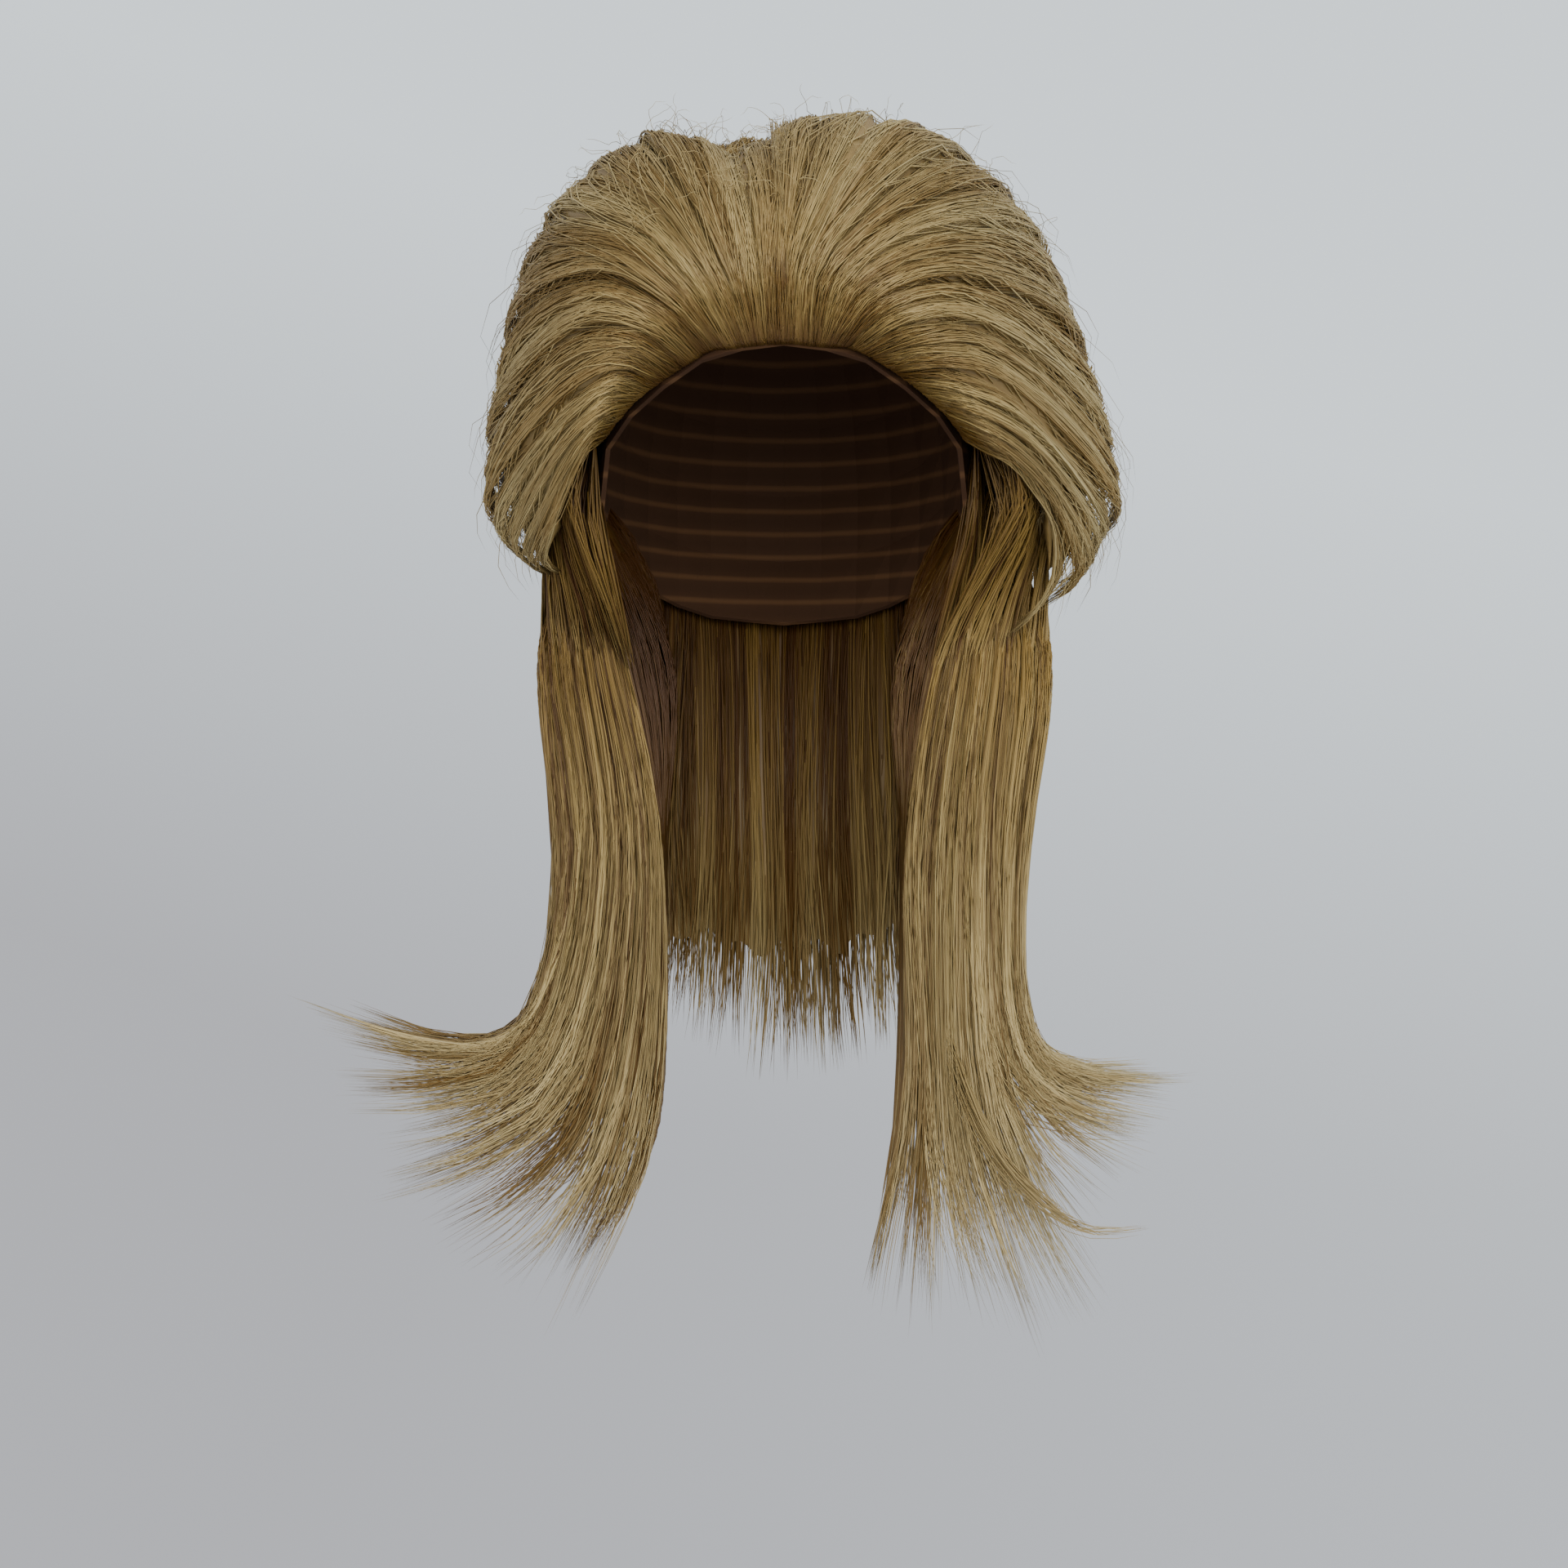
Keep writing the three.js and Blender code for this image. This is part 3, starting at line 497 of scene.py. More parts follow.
def tubes(name, paths, normals, radius, tone, along):
    """One closed three-sided tube for each path, drawn out to a point at its tip."""
    strands, points, _ = paths.shape
    tangent = unit(np.gradient(paths, axis=1))
    side = unit(np.cross(tangent, normals))
    up = np.cross(side, tangent)
    rings = points - 1
    corners = np.empty((strands, 3 * rings + 1, 3))
    for k, angle in enumerate((math.pi / 2, math.pi * 7 / 6, math.pi * 11 / 6)):
        turn = math.cos(angle) * side + math.sin(angle) * up
        corners[:, k : 3 * rings : 3] = (paths + radius[..., None] * turn)[:, :rings]
    corners[:, -1] = paths[:, -1]

    low = (np.round(tone * (tone_rows - 1)) + 0.15) / tone_rows
    high = low + 0.7 / tone_rows
    u = uv_edge + (1 - 2 * uv_edge) * np.clip(along, 0, 1)
    # Two triangles for each side between two rings, then three at the tip and one that closes the root.
    faces = []
    for a in range(3 * rings):
        b = a + 1 if a % 3 < 2 else a - 2
        faces += [(a, b, b + 3), (a, b + 3, a + 3)] if a < 3 * rings - 3 else [(a, b, 3 * rings)]
    faces = np.array([*faces, (0, 2, 1)])
    face_high = np.array([(0, 1, 1), (0, 1, 0)] * (3 * rings - 3) + [(0, 1, 1)] * 4)
    face_ring = faces // 3
    face_ring[-1] = 0, 0, 1

    triangles = (np.arange(strands)[:, None, None] * (3 * rings + 1) + faces).reshape(-1, 3)
    uv = np.empty((strands, len(faces), 3, 2))
    uv[..., 0] = u[:, face_ring]
    uv[..., 1] = np.where(face_high == 1, high[:, None, None], low[:, None, None])
    mesh = bpy.data.meshes.new(name)
    mesh.from_pydata(corners.reshape(-1, 3).tolist(), [], triangles.tolist())
    layer = mesh.uv_layers.new(name="OFBake")
    layer.data.foreach_set("uv", uv.reshape(-1).astype(np.float32))
    mesh.validate()
    return add_object(name, mesh)


print("triangles in a strand of 12 points:", 6 * (12 - 2) + 3 + 1)

# %% [markdown]
# ## Combing a section
# Combed synthetic hair falls into locks, and a lock into finer tufts. A strand therefore gets its
# place in three steps: its lock, its tuft in that lock, and its own small offset. Towards the tips
# all three draw together, which parts the locks and points their ends. Strands at one edge of a lock
# lie deeper than the rest, and each tuft has its own tone, because wig fibre is blended from pale
# and golden batches.

# %% Grooves and the blend of fibres
lock_relief = np.array([1, 0.5, 0.85, 0.35, 0.95, 0.6, 0.75, 0.4])


def groove_depth(share, along, locks, relief):
    """How far the outer face dips at a share across. Each lock tucks in under the one before it."""
    lock = np.clip(np.floor(share * locks), 0, locks - 1).astype(int)
    within = np.clip(share * locks - lock, 0, 1)
    fade = np.minimum(np.minimum(3 * along, 1), 2 - 1.5 * along)
    return relief * lock_relief[lock % len(lock_relief)] * (1 - within) ** 1.6 * fade


def blend_tone(share, seed):
    """The tone of the fibre blend across a section, in broad and narrow bands."""
    rng = np.random.default_rng(seed)
    tone = np.zeros_like(share)
    for waves, amount in ((1.7, 0.10), (4.3, 0.17), (9.1, 0.17), (23.0, 0.10), (61.0, 0.06)):
        tone += amount * np.sin(2 * math.pi * (waves * share + rng.random()))
    return tone


print("tones at five places:", np.round(0.5 + blend_tone(np.linspace(0, 1, 5), 40), 2))

# %% [markdown]
# ## From locks to strands
# `deal` hands the strands out to locks and tufts, and `reaches` says where each one starts and ends,
# so that the strands of a tuft end near each other and the tips come out ragged. `comb` then turns
# shares into points. It draws the strands together towards their tips, sinks them into the grooves,
# and bends the tips of the long hair up and out in a flick.

# %% Deal the strands out
def deal(rng, strands, locks, tufts, inner, edges):
    """Each strand's lock and tuft, the tuft's place in its lock, its own offset and share inwards."""
    lock = rng.integers(0, locks, strands)
    tuft = rng.integers(0, tufts, strands)
    tuft_at = (2 * np.arange(tufts) + rng.uniform(0.4, 1.6, (locks, tufts)))[lock, tuft] / tufts - 1
    own = rng.normal(0, 0.5, strands)
    inwards = inner[0] + (inner[1] - inner[0]) * rng.random(strands)
    if edges:
        at_edge = rng.random(strands) < edges
        lock = np.where(at_edge, np.where(rng.random(strands) < 0.5, 0, locks - 1), lock)
        tuft_at = np.where(at_edge, np.where(lock == 0, -1.0, 1.0), tuft_at)
        inwards = np.where(at_edge, rng.random(strands), inwards)
    return lock, tuft, tuft_at, own, inwards


def reaches(rng, lock, tuft, locks, tufts, begin, end, uneven):
    """Where each strand starts and ends, and how far its lock is to the late side."""
    first = begin * rng.random(lock.size) * (rng.random(lock.size) < 0.6)
    lock_end = rng.uniform(0.0, 0.6, locks)[lock] + rng.uniform(0.0, 0.4, (locks, tufts))[lock, tuft]
    late = ease((lock + 0.5) / locks, 0.35, 0.65)
    last = end[1] - (end[1] - end[0]) * lock_end
    last -= (uneven[0] + (uneven[1] - uneven[0]) * late) * rng.random(lock.size) ** 2
    return first[:, None], last[:, None], late[:, None]


print("strands dealt to 4 locks:", np.bincount(deal(np.random.default_rng(1), 100, 4, 3, (0, 1), 0)[0]))

# %% Points, thickness and tone
strand_radius, fine_radius = 0.00033, 0.00016
tuft_sway, strand_sway = 0.25, 0.08
tuft_lift, lift_sway = 0.0006, 0.0005
lies_over, packs_in, lies_loose = 0.0012, 0.02, 0.0018


def comb(section, strands, points, seed, inner=(0.0, 0.12), begin=0.25, end=(0.86, 1.0), gather=(0.6, 0.6),
         edges=0.0, thick=strand_radius, drift=(0.0, 0.0), locks=None, tufts=5, rows=None, tone=0.5, inner_edge_shade=0.0,
         uneven=(0.12, 0.12), hook=0.0, flick=0.0, wild=0.0, sink=0.0, colour=(0.0, 1.0), fray=1.25,
         vary=0.1, roots=0.0):
    """The paths, normals, radii, tones and shares along of a section's strands. begin and end give
    their reach, gather and fray how they draw together, hook and flick how their tips bend, and tone,
    vary, roots and colour their colours. The darkening of the inner edge is painted shade from the neck."""
    rng = np.random.default_rng(seed)
    if rows is not None:
        section = section | dict(rows=rows)
    locks = locks or section["locks"]
    lock, tuft, tuft_at, own, inwards = deal(rng, strands, locks, tufts, inner, edges)
    first, last, late = reaches(rng, lock, tuft, locks, tufts, begin, end, uneven)
    step = np.linspace(0, 1, points)
    along = first + (last - first) * step

    def by_tuft(low, high):
        return rng.uniform(low, high, (locks, tufts))[lock, tuft][:, None]

    def sway(amount, waves):
        pace = by_tuft(0.6, 1.4) * waves
        return amount * np.sin(2 * math.pi * pace * along + by_tuft(0, 2 * math.pi))

    # Where each point lies across: tufts draw together in their lock, and strands in their tuft.
    pull = gather[0] + (gather[1] - gather[0]) * late
    lock_pull = 1 - 0.8 * pull * ease(along, 0.55, 1.02)
    own_pull = 1 - fray * np.minimum(pull, 0.75) * ease(along, 0.45, 1.0)
    at = tuft_at[:, None] * lock_pull + own[:, None] * own_pull + sway(tuft_sway, 1.1)
    at += strand_sway * np.sin(2 * math.pi * (rng.uniform(0.5, 1.6, strands)[:, None] * along
                                              + rng.random(strands)[:, None]))
    share = (lock[:, None] + 0.5 + 0.5 * at) / locks
    share += rng.uniform(*drift, locks)[lock][:, None] * ease(along, 0.2, 1.0)
    share = np.clip(share, 0.0, 1.0)

    # How high it lies over the outer face, and how its tip bends.
    dip = groove_depth(share, along, section["locks"], section["relief"])
    point, normal = place(section, share, along, np.broadcast_to(inwards[:, None], share.shape))
    outer_side = np.where(inwards < 0.5, 1.0, -0.4)[:, None]
    lift = by_tuft(-tuft_lift, tuft_lift) + sway(lift_sway, 1.6)
    if wild:
        lift = lift + wild * rng.random(strands)[:, None] ** 2 * ease(along, first, 1) * 2
    lift = (lift - sink * (1 - ease(along - first, 0, 0.25))) * ease(along, 0, 0.1)
    point += (outer_side * (lift - dip))[..., None] * normal
    if section["settles"]:
        height = lies_over - packs_in * inwards + lies_loose * rng.random(strands)
        point = settle(point, height[:, None])
    curl = (np.clip((along - 0.76) / 0.24, 0, 1) ** 2 * ease(share, 0.5, 0.62))[..., None]
    point -= hook * curl * (np.sign(point) * (1, 0, 0) + (0, 0, -0.3))
    bent = by_tuft(0.2, 1.2) * np.clip((along - 0.7) / 0.3, 0, 1) ** 2
    point += flick * bent[..., None] * (np.sign(point) * (1, 0, 0) + (0, 0, 0.9))

    # How thick it is, and its tone and colour.
    radius = thick * rng.uniform(0.75, 1.2, strands)[:, None] * (0.7 + 0.3 * ease(step, 0, 0.1))
    radius = radius * (1 - 0.7 * ease(step, 0.7, 1))
    middle = share[:, points // 2]
    tone = tone + blend_tone(middle, section["seed"]) + by_tuft(-vary, vary)[:, 0]
    tone += rng.normal(0, 0.10, strands)
    # Strands that lie deeper get a darker tone: painted shade.
    shade_depth = (inwards - inner[0]) / (inner[1] - inner[0])
    tone -= 0.2 * np.clip(shade_depth, 0, 1) + inner_edge_shade * ease(middle, 0.6, 1.0)
    tint = colour[0] + (colour[1] - colour[0]) * along - roots * (1 - ease(share, 0.04, 0.2)) * (1 - along)
    return point, normal, radius, np.clip(tone, 0, 1), tint


print("three combed strands:", comb(sections["nape_length"], 3, 5, 1)[0].shape)

# %% [markdown]
# ## Combed beds
# Strands alone let light through between them, and filling a section with them would take millions
# of faces. So each section has a bed under its strands: a closed sheet from the same guide locks, a
# little inside the strands, with the grooves between the locks pressed into it.

# %% How a bed is made
ragged, comb_marks, bed_heights = 0.025, 0.0006, (-0.006, -0.010)


def bed(name, section, seed, rows, columns, inner, ends, edge=0.02):
    """A closed combed sheet between two shares inwards. ends are its start, and its end at the first
    guide lock and at the last one."""
    rng = np.random.default_rng(seed)
    bm = bmesh.new()
    bmesh.ops.create_grid(bm, x_segments=columns, y_segments=rows, size=0.5)
    copied = bmesh.ops.duplicate(bm, geom=bm.verts[:] + bm.edges[:] + bm.faces[:])["geom"]
    for vert in (item for item in copied if isinstance(item, bmesh.types.BMVert)):
        vert.co.z = -1
    bmesh.ops.bridge_loops(bm, edges=[item for item in bm.edges if item.is_boundary])
    grid = np.array([vert.co for vert in bm.verts], float)
    share = edge + (1 - 2 * edge) * (grid[:, 0] + 0.5)
    finish = ends[1] + (ends[2] - ends[1]) * ease(share, 0.4, 0.6)
    finish = finish + ragged * np.sin(29 * share + seed) * np.sin(11 * share)
    along = ends[0] + (finish - ends[0]) * (grid[:, 1] + 0.5)
    outside = grid[:, 2] > -0.5

    layer = bm.loops.layers.uv.new("OFBake")
    for face in bm.faces:
        for loop in face.loops:
            x, y, z = loop.vert.co
            other_half = 0.5 if z < -0.5 else 0
            loop[layer].uv = (uv_edge + (1 - 2 * uv_edge) * (y + 0.5), 0.01 + 0.48 * (x + 0.5) + other_half)

    middle = 0.5 * (inner[0] + inner[1])
    inwards = middle + (np.where(outside, *inner) - middle) * (1 - 0.8 * ease(grid[:, 1], 0.2, 0.5))
    point, normal = place(section, share, along, inwards)
    dip = groove_depth(share, along, section["locks"], section["relief"])
    column = ((grid[:, 0] + 0.5) * columns).round().astype(int)
    dip += rng.uniform(0, comb_marks, columns + 1)[column]
    point -= (np.where(outside, dip, 0) * ease(along, 0, 0.1))[:, None] * normal
    if section["settles"]:
        point = settle(point, np.where(outside, *bed_heights))
    for vert, spot in zip(bm.verts, point):
        vert.co = spot
    return from_bmesh(name, bm)


print("heights of a settled bed on the crown:", bed_heights)

# %% Make the beds
swept_bed = dict(rows=26, inner=(0.10, 1.0), ends=(0.0, 0.98, 0.74))
long_bed = dict(rows=26, columns=64, inner=(0.16, 0.8), ends=(0.02, 0.64, 0.66), edge=0.05)
ear_bed = dict(rows=16, columns=20, inner=(0.2, 0.8), ends=(0.02, 0.48, 0.52))
beds = {
    "sweep_left": dict(columns=112, **swept_bed),
    "sweep_right": dict(columns=119, **swept_bed),
    "crown_back": dict(rows=20, columns=104, inner=(0.16, 1.0), ends=(0.0, 0.76, 0.76)),
    "length_left": long_bed,
    "length_right": long_bed,
    "nape_length": dict(rows=24, columns=64, inner=(0.2, 0.8), ends=(0.02, 0.66, 0.66)),
    "ear_left": ear_bed,
    "ear_right": ear_bed,
}
pieces = {}
for order, (name, how) in enumerate(beds.items()):
    rides = "nape_length" if "ear" in name else name
    label = name + "_bed" if rides == name else f"{rides}_{name}_bed"
    made = bed(label, sections[name], 7 + order, **how)
    pieces.setdefault(rides, []).append(made)
    print(made.name, len(made.data.polygons), "faces")

# %% [markdown]
# ## Strands of each section
# Over the head the strands lie on the outer side of their bed. Where the hair hangs, others lie
# behind the bed and round its edges. A style is a set of the comb's values, and a section gets
# several: the main hair, and often a few locks on top or behind and loose single hairs.

# %% Styles of combing
sweep = dict(points=12, gather=(0.15, 0.7), end=(0.93, 1.0), tufts=4, uneven=(0.1, 0.3), vary=0.18, roots=0.2)
above = dict(locks=6, drift=(-0.1, 0.1), inner=(-0.06, 0.0), tone=0.8)
under = dict(strands=240, points=9, locks=6, inner=(1.1, 1.5), begin=0.4, gather=(0.3, 0.3), end=(0.6, 0.8))
# The long hair's inner edge is darkened here: painted shade from the neck.
hang = dict(flick=0.016, begin=0.1, end=(0.88, 1.0), uneven=(0.1, 0.25), inner_edge_shade=0.6, fray=0.7, vary=0.25,
            drift=(-0.05, 0.05))
over = dict(flick=0.014, points=12, inner=(-0.12, 0.02), locks=7, drift=(-0.42, 0.0), begin=0.1, end=(0.9, 1.0),
            tone=0.95, tufts=3, gather=(0.7, 0.7), fray=0.9)
fall = dict(points=9, end=(0.55, 1.0), uneven=(0.3, 0.3), gather=(0.3, 0.3), inner=(-0.05, 0.2))
back = dict(points=9, begin=0.1, end=(0.8, 1.0), uneven=(0.25, 0.25), gather=(0.14, 0.14), tufts=9)
bridge = dict(strands=260, points=10, inner=(-0.05, 0.05), begin=0.2, end=(0.6, 1.0), uneven=(0.4, 0.4),
              gather=(0.2, 0.2), tufts=8, sink=0.004, colour=(0.5, 1.0))
loose = dict(strands=110, points=10, inner=(-0.1, 0.0), thick=fine_radius, wild=0.005, gather=(0, 0), begin=0.5)


def long_styles(which, seed, loose_seed, reach, falling, out, tones, colour):
    """One side's long hair: outer face, top locks, inner face, two falls over the ear, loose hairs."""
    ear, further = length_rows(which, -12, higher=0.02), length_rows(which, -18, higher=0.025, out=out)
    return [
        dict(strands=1250, points=12, seed=seed, rows=length_rows(which, reach=reach), inner=(0.0, 0.15), edges=0.28,
             tone=tones[0], colour=colour, **hang),
        dict(strands=260, seed=20 + seed, **over),
        dict(strands=520, points=11, seed=1 + seed, inner=(1.0, 0.82), tone=tones[1], **hang),
        dict(strands=300, seed=21 + seed, rows=ear, tone=tones[2], **fall),
        dict(strands=falling, seed=31 + seed, rows=further, tone=tones[3], **fall),
        dict(seed=loose_seed, **loose),
    ]


styles = {
    "sweep_" + which: [
        dict(strands=strands, seed=seed, hook=hook, **sweep),
        dict(strands=200, seed=20 + seed, hook=hook, **sweep | above),
        dict(seed=40 + seed, rows=sweep_rows(which)[wing:], **under),
        dict(seed=60 + seed, **loose),
    ]
    for which, strands, seed, hook, wing in (("left", 2150, 11, 0.010, 4), ("right", 2250, 12, 0.014, 5))
}
styles |= {
    "crown_back": [
        dict(strands=1900, points=10, seed=13, end=(0.88, 1.0), uneven=(0.2, 0.2), gather=(0.3, 0.3), tufts=8,
             colour=(0.3, 1.0)),
        dict(seed=33, section="sweep_left", rows=bridge_rows("left"), **bridge),
        dict(seed=38, section="sweep_right", rows=bridge_rows("right"), **bridge),
        dict(seed=73, **loose),
    ],
    # The right length has paler tones and paler roots than the left: painted light on the side the light comes from.
    "length_left": long_styles("left", 14, 74, 1.06, 260, 0.014, (0.45, 0.4, 0.3, 0.4), (0.0, 1.0)),
    "length_right": long_styles("right", 16, 75, 1.25, 320, 0.024, (0.85, 0.5, 0.5, 0.7), (0.2, 1.0)),
    "nape_length": [
        dict(strands=600, seed=18, inner=(0.0, 0.2), edges=0.1, **back),
        # The inner nape and the hair behind the ears get a low tone: painted shade behind the neck.
        dict(strands=450, seed=19, inner=(1.0, 0.8), tone=0.3, **back),
        dict(strands=400, seed=20, section="ear_left", inner=(0.0, 0.8), tone=0.3, **back),
        dict(strands=400, seed=21, section="ear_right", inner=(0.0, 0.8), tone=0.3, **back),
    ],
}
print("styles:", {name: len(combings) for name, combings in styles.items()})

# %% Comb all the sections
def grow(name, piece, strands):
    """Adds a piece made of strands to a section."""
    pieces[name].append(tubes(piece, *strands))
    print(piece, len(pieces[name][-1].data.polygons), "triangles")


for name, combings in styles.items():
    for order, how in enumerate(combings):
        grow(name, f"{name}_strands_{order + 1}", comb(sections[how.pop("section", name)], **how))

# %% [markdown]
# ## The hairline
# At the front edge of a real wig, short hairs are tied over the rim so that the cap does not show.
# Each one starts on the inside of the hem, turns round it and lies back on the swept hair.

# %% Short hairs over the rim
rim_radius = 0.00036


def hairline(section, strands, seed):
    """Paths and the rest for short hairs that wrap the front hem of the cap."""
    rng = np.random.default_rng(seed)
    share = rng.random(strands)[:, None] + rng.normal(0, 0.004, (strands, 6)).cumsum(axis=1)
    share = np.clip(share, 0, 1)
    reach = rng.uniform(0.05, 0.22, strands)[:, None]
    along = reach * np.array([0, 0, 0.1, 0.4, 0.7, 1.0])
    lift = rng.uniform(-0.08, 0.10, strands)[:, None] * np.ones(6)
    point, normal = place(section, share, along, lift)
    start = unit(point[:, 3] - point[:, 2])
    # The first two points go round the rim: one lies inside the hem, and the next just below it.
    point[:, 0] += -0.0036 * normal[:, 0] - 0.0010 * start
    point[:, 1] += -0.0012 * normal[:, 1] - 0.0024 * start
    radius = rim_radius * np.array([1, 1, 1, 0.9, 0.7, 0.4]) * np.ones((strands, 1))
    tone = np.clip(0.25 + blend_tone(share[:, 3], section["seed"]) + rng.normal(0, 0.1, strands), 0, 1)
    return point, normal, radius, tone, along


for name, seed in (("sweep_left", 61), ("sweep_right", 62)):
    grow(name, name + "_hairline", hairline(sections[name], 800, seed))

# %% [markdown]
# ## Frizz and a stray lock
# Two small things break up the outline in the photo. Short frizzy hairs stand up where the two
# sweeps part on top, and one thin lock at the right leaves the others near its tip and curls
# outwards. A free lock is a path with strands spread round it.

# %% Free hairs
frizz_step = 0.0024


def free_lock(path, spread, strands, points, seed, thick=0.0003, tone=0.6, span=(0.6, 1.0)):
    """Strands round one path. spread is how far they lie off it, at its start and at its tip."""
    rng = np.random.default_rng(seed)
    along = np.linspace(0, 1, points) * rng.uniform(*span, strands)[:, None]
    column = np.broadcast_to(np.array(path, float)[:, None, None], (len(path), strands, points, 3))
    point = between(column, along * (len(path) - 1))
    width = (spread[0] + (spread[1] - spread[0]) * along)[..., None]
    point = point + width * rng.normal(0, 0.5, (strands, 1, 3))
    point += 0.0012 * np.sin(2 * math.pi * (along[..., None] * rng.uniform(0.5, 1.5, (strands, 1, 3))
                                            + rng.random((strands, 1, 3))))
    normal = np.broadcast_to((0, -1.0, 0.1), point.shape)
    radius = thick * (1 - 0.7 * along) * np.ones((strands, 1))
    return point, normal, radius, np.clip(tone + rng.normal(0, 0.12, strands), 0, 1), 0.5 + 0.5 * along


def frizz(section, strands, points, seed):
    """Short hairs that leave the top of a section and curl in their own ways."""
    rng = np.random.default_rng(seed)
    share, along = rng.uniform(0.0, 0.38, strands), rng.uniform(0.35, 0.8, strands)
    start, normal = place(section, share, along, np.zeros(strands))
    heading = normal + rng.normal(0, 0.7, (strands, 3))
    path = [start]
    for _ in range(points - 1):
        heading = unit(heading + rng.normal(0, 0.45, (strands, 3)) - (0, 0, 0.12))
        path.append(path[-1] + frizz_step * heading)
    step = np.linspace(0, 1, points) * np.ones((strands, 1))
    normals = np.broadcast_to(normal[:, None], (strands, points, 3))
    tone = rng.uniform(0.4, 0.9, strands)
    return np.stack(path, axis=1), normals, fine_radius * (1 - 0.6 * step), tone, 0.4 + 0.5 * step


stray = [(0.056, -0.036, -0.290), (0.066, -0.052, -0.330), (0.080, -0.068, -0.362), (0.100, -0.073, -0.383),
         (0.118, -0.072, -0.392), (0.140, -0.070, -0.391)]
grow("length_right", "length_right_stray_lock", free_lock(stray, (0.004, 0.001), 46, 12, 81))
grow("sweep_left", "sweep_left_frizz", frizz(sections["sweep_left"], 120, 9, 82))
grow("sweep_right", "sweep_right_frizz", frizz(sections["sweep_right"], 50, 9, 83))
total = sum(len(p.vertices) - 2 for made in pieces.values() for piece in made for p in piece.data.polygons)
print("triangles in all the hair:", total)

# %% [markdown]
# ## Materials
# One kind of fibre material serves all strands. Two ramps along u give a golden and a pale fibre,
# both darker at the root and paler at the tip, and the tone in v mixes them. The long hair gets
# its own ramps, which stay dark for longer below the ear: painted shade from the wings and the head
# above it.

# %% Colours along the fibre
def shade(*colour):
    """Red, green and blue from 0 to 255 as a linear colour."""
    return [((c / 255 + 0.055) / 1.055) ** 2.4 if c > 10 else c / 255 / 12.92 for c in colour] + [1]


def ramp(nodes, stops):
    """A colour ramp node from (place, colour) stops."""
    node = nodes.new("ShaderNodeValToRGB")
    elements = node.color_ramp.elements
    while len(elements) < len(stops):
        elements.new(0.5)
    for element, (at, colour) in zip(elements, stops):
        element.position, element.color = at, shade(*colour)
    return node


def new_material(name, roughness, sheen):
    """A material, its nodes and its shader."""
    material = bpy.data.materials.new(name)
    material.use_nodes = True
    shader = material.node_tree.nodes["Principled BSDF"]
    shader.inputs["Roughness"].default_value = roughness
    shader.inputs["Specular IOR Level"].default_value = sheen
    return material, material.node_tree.nodes, shader


def add_node(nodes, kind, **values):
    """A node with some inputs set. An underscore stands for a space in an input's name."""
    node = nodes.new("ShaderNode" + kind)
    for name, value in values.items():
        node.inputs[name.replace("_", " ")].default_value = value
    return node


def wire(start, output, end, entry):
    """Joins one node's output to another node's input."""
    start.id_data.links.new(start.outputs[output], end.inputs[entry])


# The golden fibre, then the pale one.
swept_stops = (
    [(0.0, (74, 44, 10)), (0.12, (104, 76, 28)), (0.6, (119, 92, 44)), (1.0, (138, 108, 54))],
    [(0.0, (114, 82, 28)), (0.12, (159, 134, 78)), (0.6, (174, 156, 109)), (1.0, (190, 171, 120))],
)
# These ramps stay dark for longer below the ear: painted shade from the wings above.
long_shaded_stops = (
    [(0.0, (52, 26, 4)), (0.3, (66, 38, 7)), (0.6, (86, 58, 18)), (0.85, (130, 100, 48)), (1.0, (170, 142, 86))],
    [(0.0, (96, 66, 20)), (0.3, (142, 114, 56)), (0.6, (176, 154, 100)), (0.85, (202, 182, 132)),
     (1.0, (222, 206, 162))],
)
print("stops on each fibre:", len(swept_stops[0]), len(long_shaded_stops[0]))

# %% The fibre material
fibre_roughness, stripes = 0.44, (1.5, 260, 1)


def fibre_material(name, stops, striped, sheen=0.4):
    """Hair coloured by its UV map: u is the share along, and v the tone or the share across."""
    material, nodes, shader = new_material(name, fibre_roughness, sheen)
    uv = add_node(nodes, "UVMap")
    uv.uv_map = "OFBake"
    parts = add_node(nodes, "SeparateXYZ")
    wire(uv, "UV", parts, 0)
    mix = add_node(nodes, "Mix")
    mix.data_type = "RGBA"
    for fibre, entry in zip(stops, (6, 7)):
        colours = ramp(nodes, fibre)
        wire(parts, "X", colours, "Fac")
        wire(colours, "Color", mix, entry)
    if striped:
        stretch = add_node(nodes, "Mapping", Scale=stripes)
        wire(uv, "UV", stretch, "Vector")
        noise = add_node(nodes, "TexNoise", Scale=1.0, Detail=3.0)
        wire(stretch, "Vector", noise, "Vector")
        # A bed keeps to the golden half of the blend, darker than its strands: painted shade under them.
        spread = add_node(nodes, "MapRange", From_Min=0.3, From_Max=0.8, To_Max=0.5)
        wire(noise, "Fac", spread, "Value")
        wire(spread, "Result", mix, "Factor")
    else:
        wire(parts, "Y", mix, "Factor")
    wire(mix, 2, shader, "Base Color")
    return material


swept_looks = [fibre_material("swept fibre " + kind, swept_stops, kind == "bed") for kind in ("bed", "strand")]
long_looks = [fibre_material("long fibre " + kind, long_shaded_stops, kind == "bed", 0.25) for kind in ("bed", "strand")]
for name, made in pieces.items():
    looks = long_looks if "length" in name else swept_looks
    for piece in made:
        piece.data.materials.append(looks[0 if piece.name.endswith("_bed") else 1])
        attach(piece, "root")
        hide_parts(name)
print("materials:", [look.name for look in swept_looks + long_looks])

# %% [markdown]
# ## The cap
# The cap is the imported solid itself, because its shape is final there. Hair is sewn on it in rows of
# weft, so a wave along the height draws the rows, a little paler than the dark stretch net.

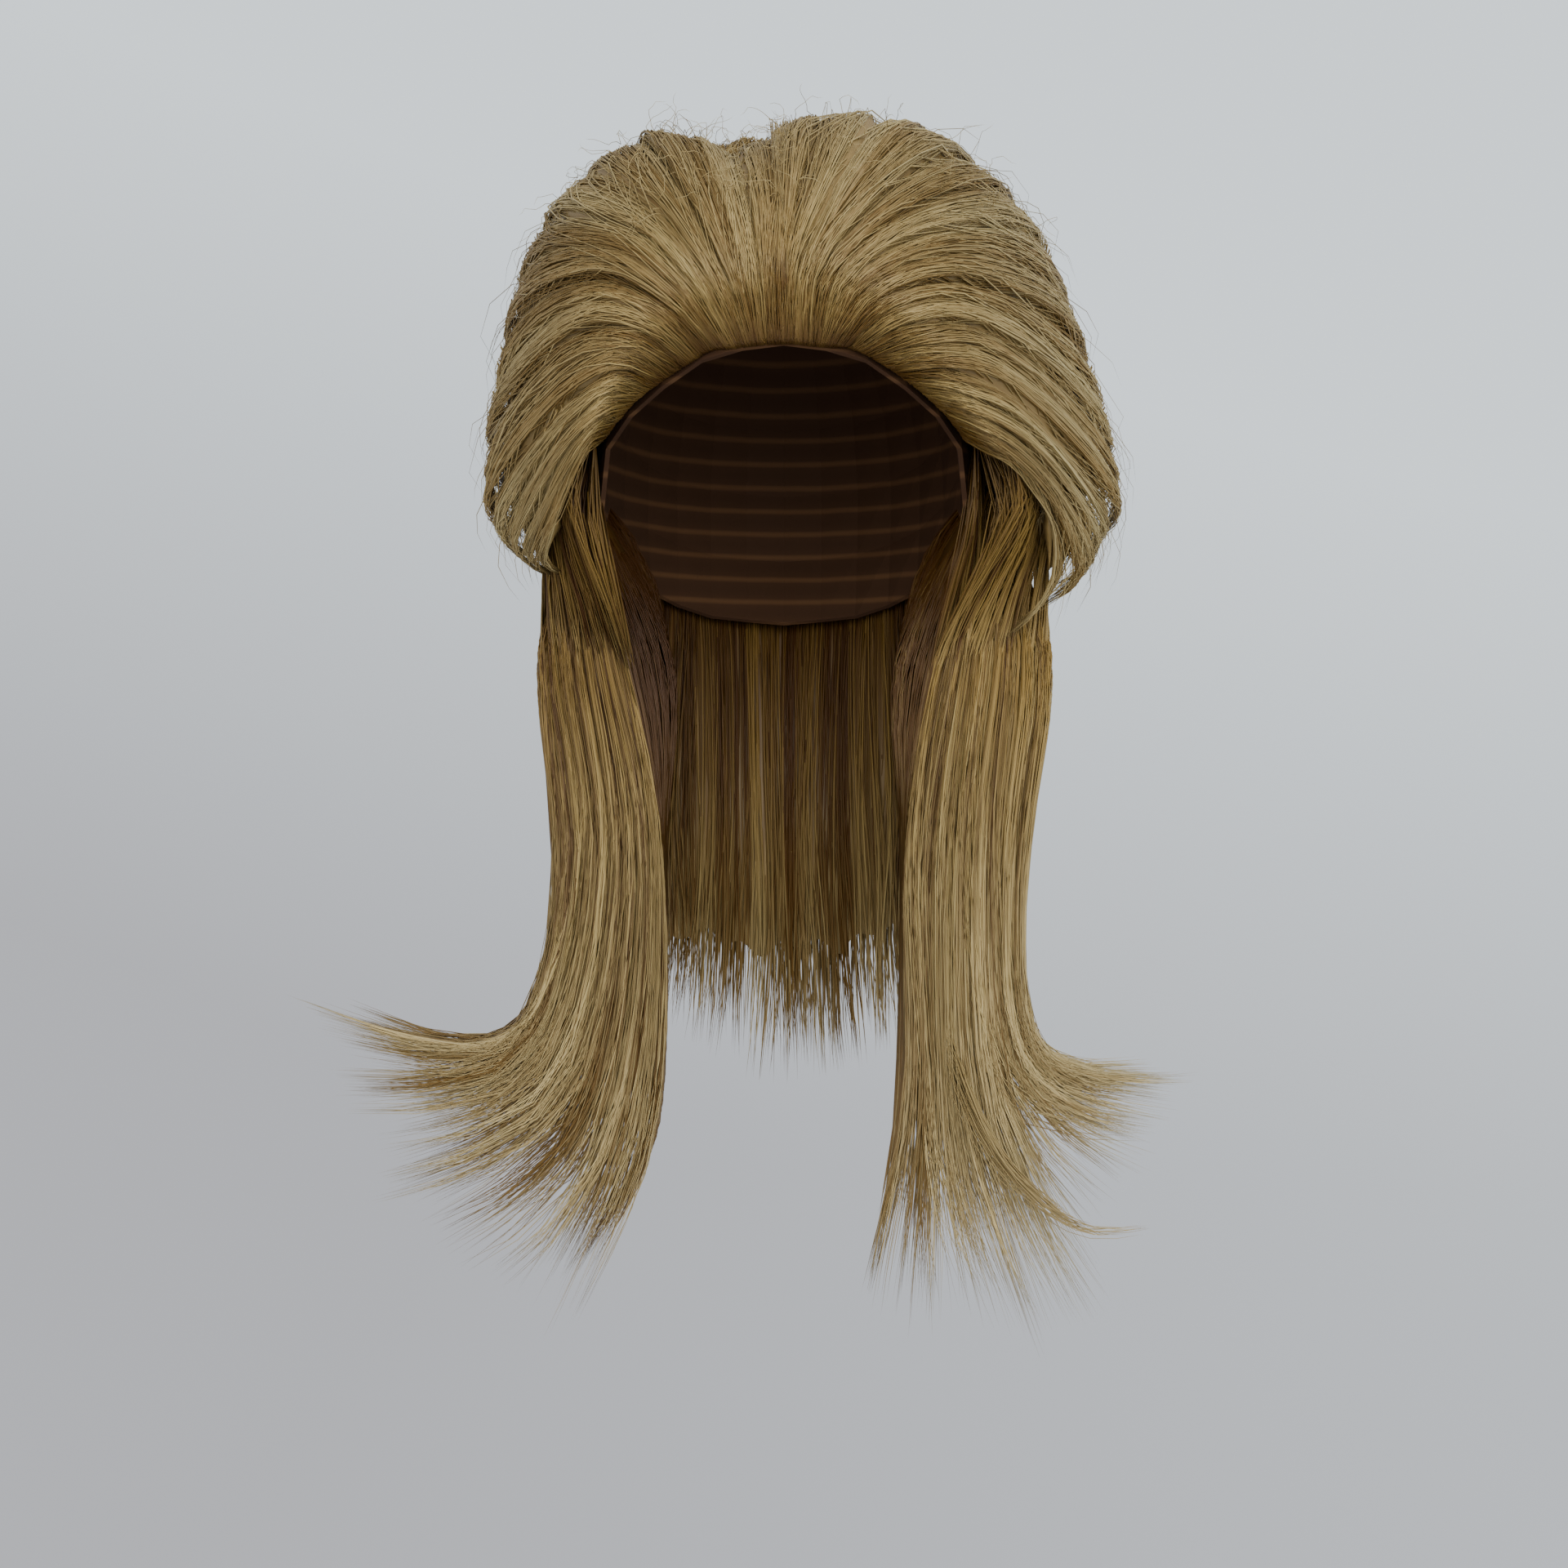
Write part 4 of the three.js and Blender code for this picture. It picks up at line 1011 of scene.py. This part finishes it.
# %% The net of the cap
net, nodes, shader = new_material("cap net", roughness=0.85, sheen=0.2)
where = add_node(nodes, "TexCoord")
rows = add_node(nodes, "TexWave", Scale=30, Distortion=0.4)
rows.bands_direction = "Z"
colours = ramp(nodes, [(0.0, (62, 40, 24)), (0.8, (66, 43, 26)), (1.0, (90, 62, 38))])
wire(where, "Object", rows, "Vector")
wire(rows, "Fac", colours, "Fac")
wire(colours, "Color", shader, "Base Color")

cap = frame["nodes"]["wig_cap"]
cap.data.materials.clear()
cap.data.materials.append(net)
print("cap:", [look.name for look in cap.data.materials])

# %% [markdown]
# ## The set
# The room is plain pale grey with soft, even light. A round floor that curves up into a
# wall shows no corner from any side. Its paint is dark and glows by itself, so that the lamps leave
# no bright patches on it, and the glow lights the hair softly from all round. Its glow is painted
# paler towards the top right: painted light from that side.

# %% The room
floor_level, wall, wall_top, bend = -0.60, 2.6, 1.0, 1.2
outline = [(0, floor_level), (wall - bend, floor_level)]
outline += [(wall - bend + bend * math.sin(a), floor_level + bend - bend * math.cos(a))
            for a in np.linspace(0.15, math.pi / 2, 9)]
outline += [(wall, wall_top)]
room = bmesh.new()
edge = [room.verts.new((r, 0, z)) for r, z in outline]
for a, b in zip(edge, edge[1:]):
    room.edges.new((a, b))
bmesh.ops.spin(room, geom=room.verts[:] + room.edges[:], cent=(0, 0, 0), axis=(0, 0, 1), angle=2 * math.pi,
               steps=64, use_merge=True)
bmesh.ops.remove_doubles(room, verts=room.verts[:], dist=1e-5)
backdrop = from_bmesh("room", room)

paint, nodes, coat = new_material("pale wall", roughness=0.9, sheen=0.0)
coat.inputs["Base Color"].default_value = shade(68, 70, 72)
coat.inputs["Emission Strength"].default_value = 1.2
where = add_node(nodes, "TexCoord")
# The glow is painted paler towards the top right: painted light.
slope = add_node(nodes, "VectorMath")
slope.operation = "DOT_PRODUCT"
slope.inputs[1].default_value = (0.35, 0, 1)
climb = add_node(nodes, "MapRange", From_Min=-0.7, From_Max=0.5)
glow = ramp(nodes, [(0, (176, 177, 182)), (1, (238, 248, 254))])
wire(where, "Object", slope, 0)
wire(slope, "Value", climb, "Value")
wire(climb, "Result", glow, "Fac")
wire(glow, "Color", coat, "Emission Color")
paint.cycles.emission_sampling = "NONE"
backdrop.data.materials.append(paint)
print("room:", len(backdrop.data.polygons), "faces, wall", wall, "m away")

# %% [markdown]
# ## Lights and camera
# Three square lamps stand where a photographer's softboxes would: a large one in front a little to
# the right that gives the broad sheen, a small one above, and a weak one at the left that opens the
# shadows. The room is open above, where a pale sky adds a little light. The camera stands a metre
# in front, about level with the middle of the hair, and looks straight back.

# %% Lights
def softbox(name, at, towards, size, power):
    """A square area light that faces a point."""
    lamp = bpy.data.lights.new(name, "AREA")
    lamp.size, lamp.energy = size, power
    holder = add_object(name, lamp)
    holder.location = at
    direction = Vector(towards) - Vector(at)
    holder.rotation_euler = direction.to_track_quat("-Z", "Y").to_euler()
    print(name, power, "W")


softbox("key light", (0.45, -1.9, 0.45), (0, 0, -0.18), 2.2, 51)
softbox("top light", (0.3, -0.5, 1.5), (0, 0, -0.1), 1.0, 8)
softbox("fill light", (-1.3, -1.5, 0.0), (0, 0, -0.2), 1.6, 14)
world = bpy.data.worlds.new("room light")
bpy.context.scene.world = world
world.use_nodes = True
sky = world.node_tree.nodes["Background"]
sky.inputs["Color"].default_value = shade(225, 230, 235)
sky.inputs["Strength"].default_value = 0.6

# %% Camera
camera_distance, camera_height, focal_length = 1.0, -0.222, 55.97
lens = bpy.data.cameras.new("camera")
lens.sensor_width = 36
lens.lens = focal_length
camera = add_object("camera", lens)
camera.location = (0, -camera_distance, camera_height)
camera.rotation_euler = (math.radians(90), 0, 0)
bpy.context.scene.camera = camera
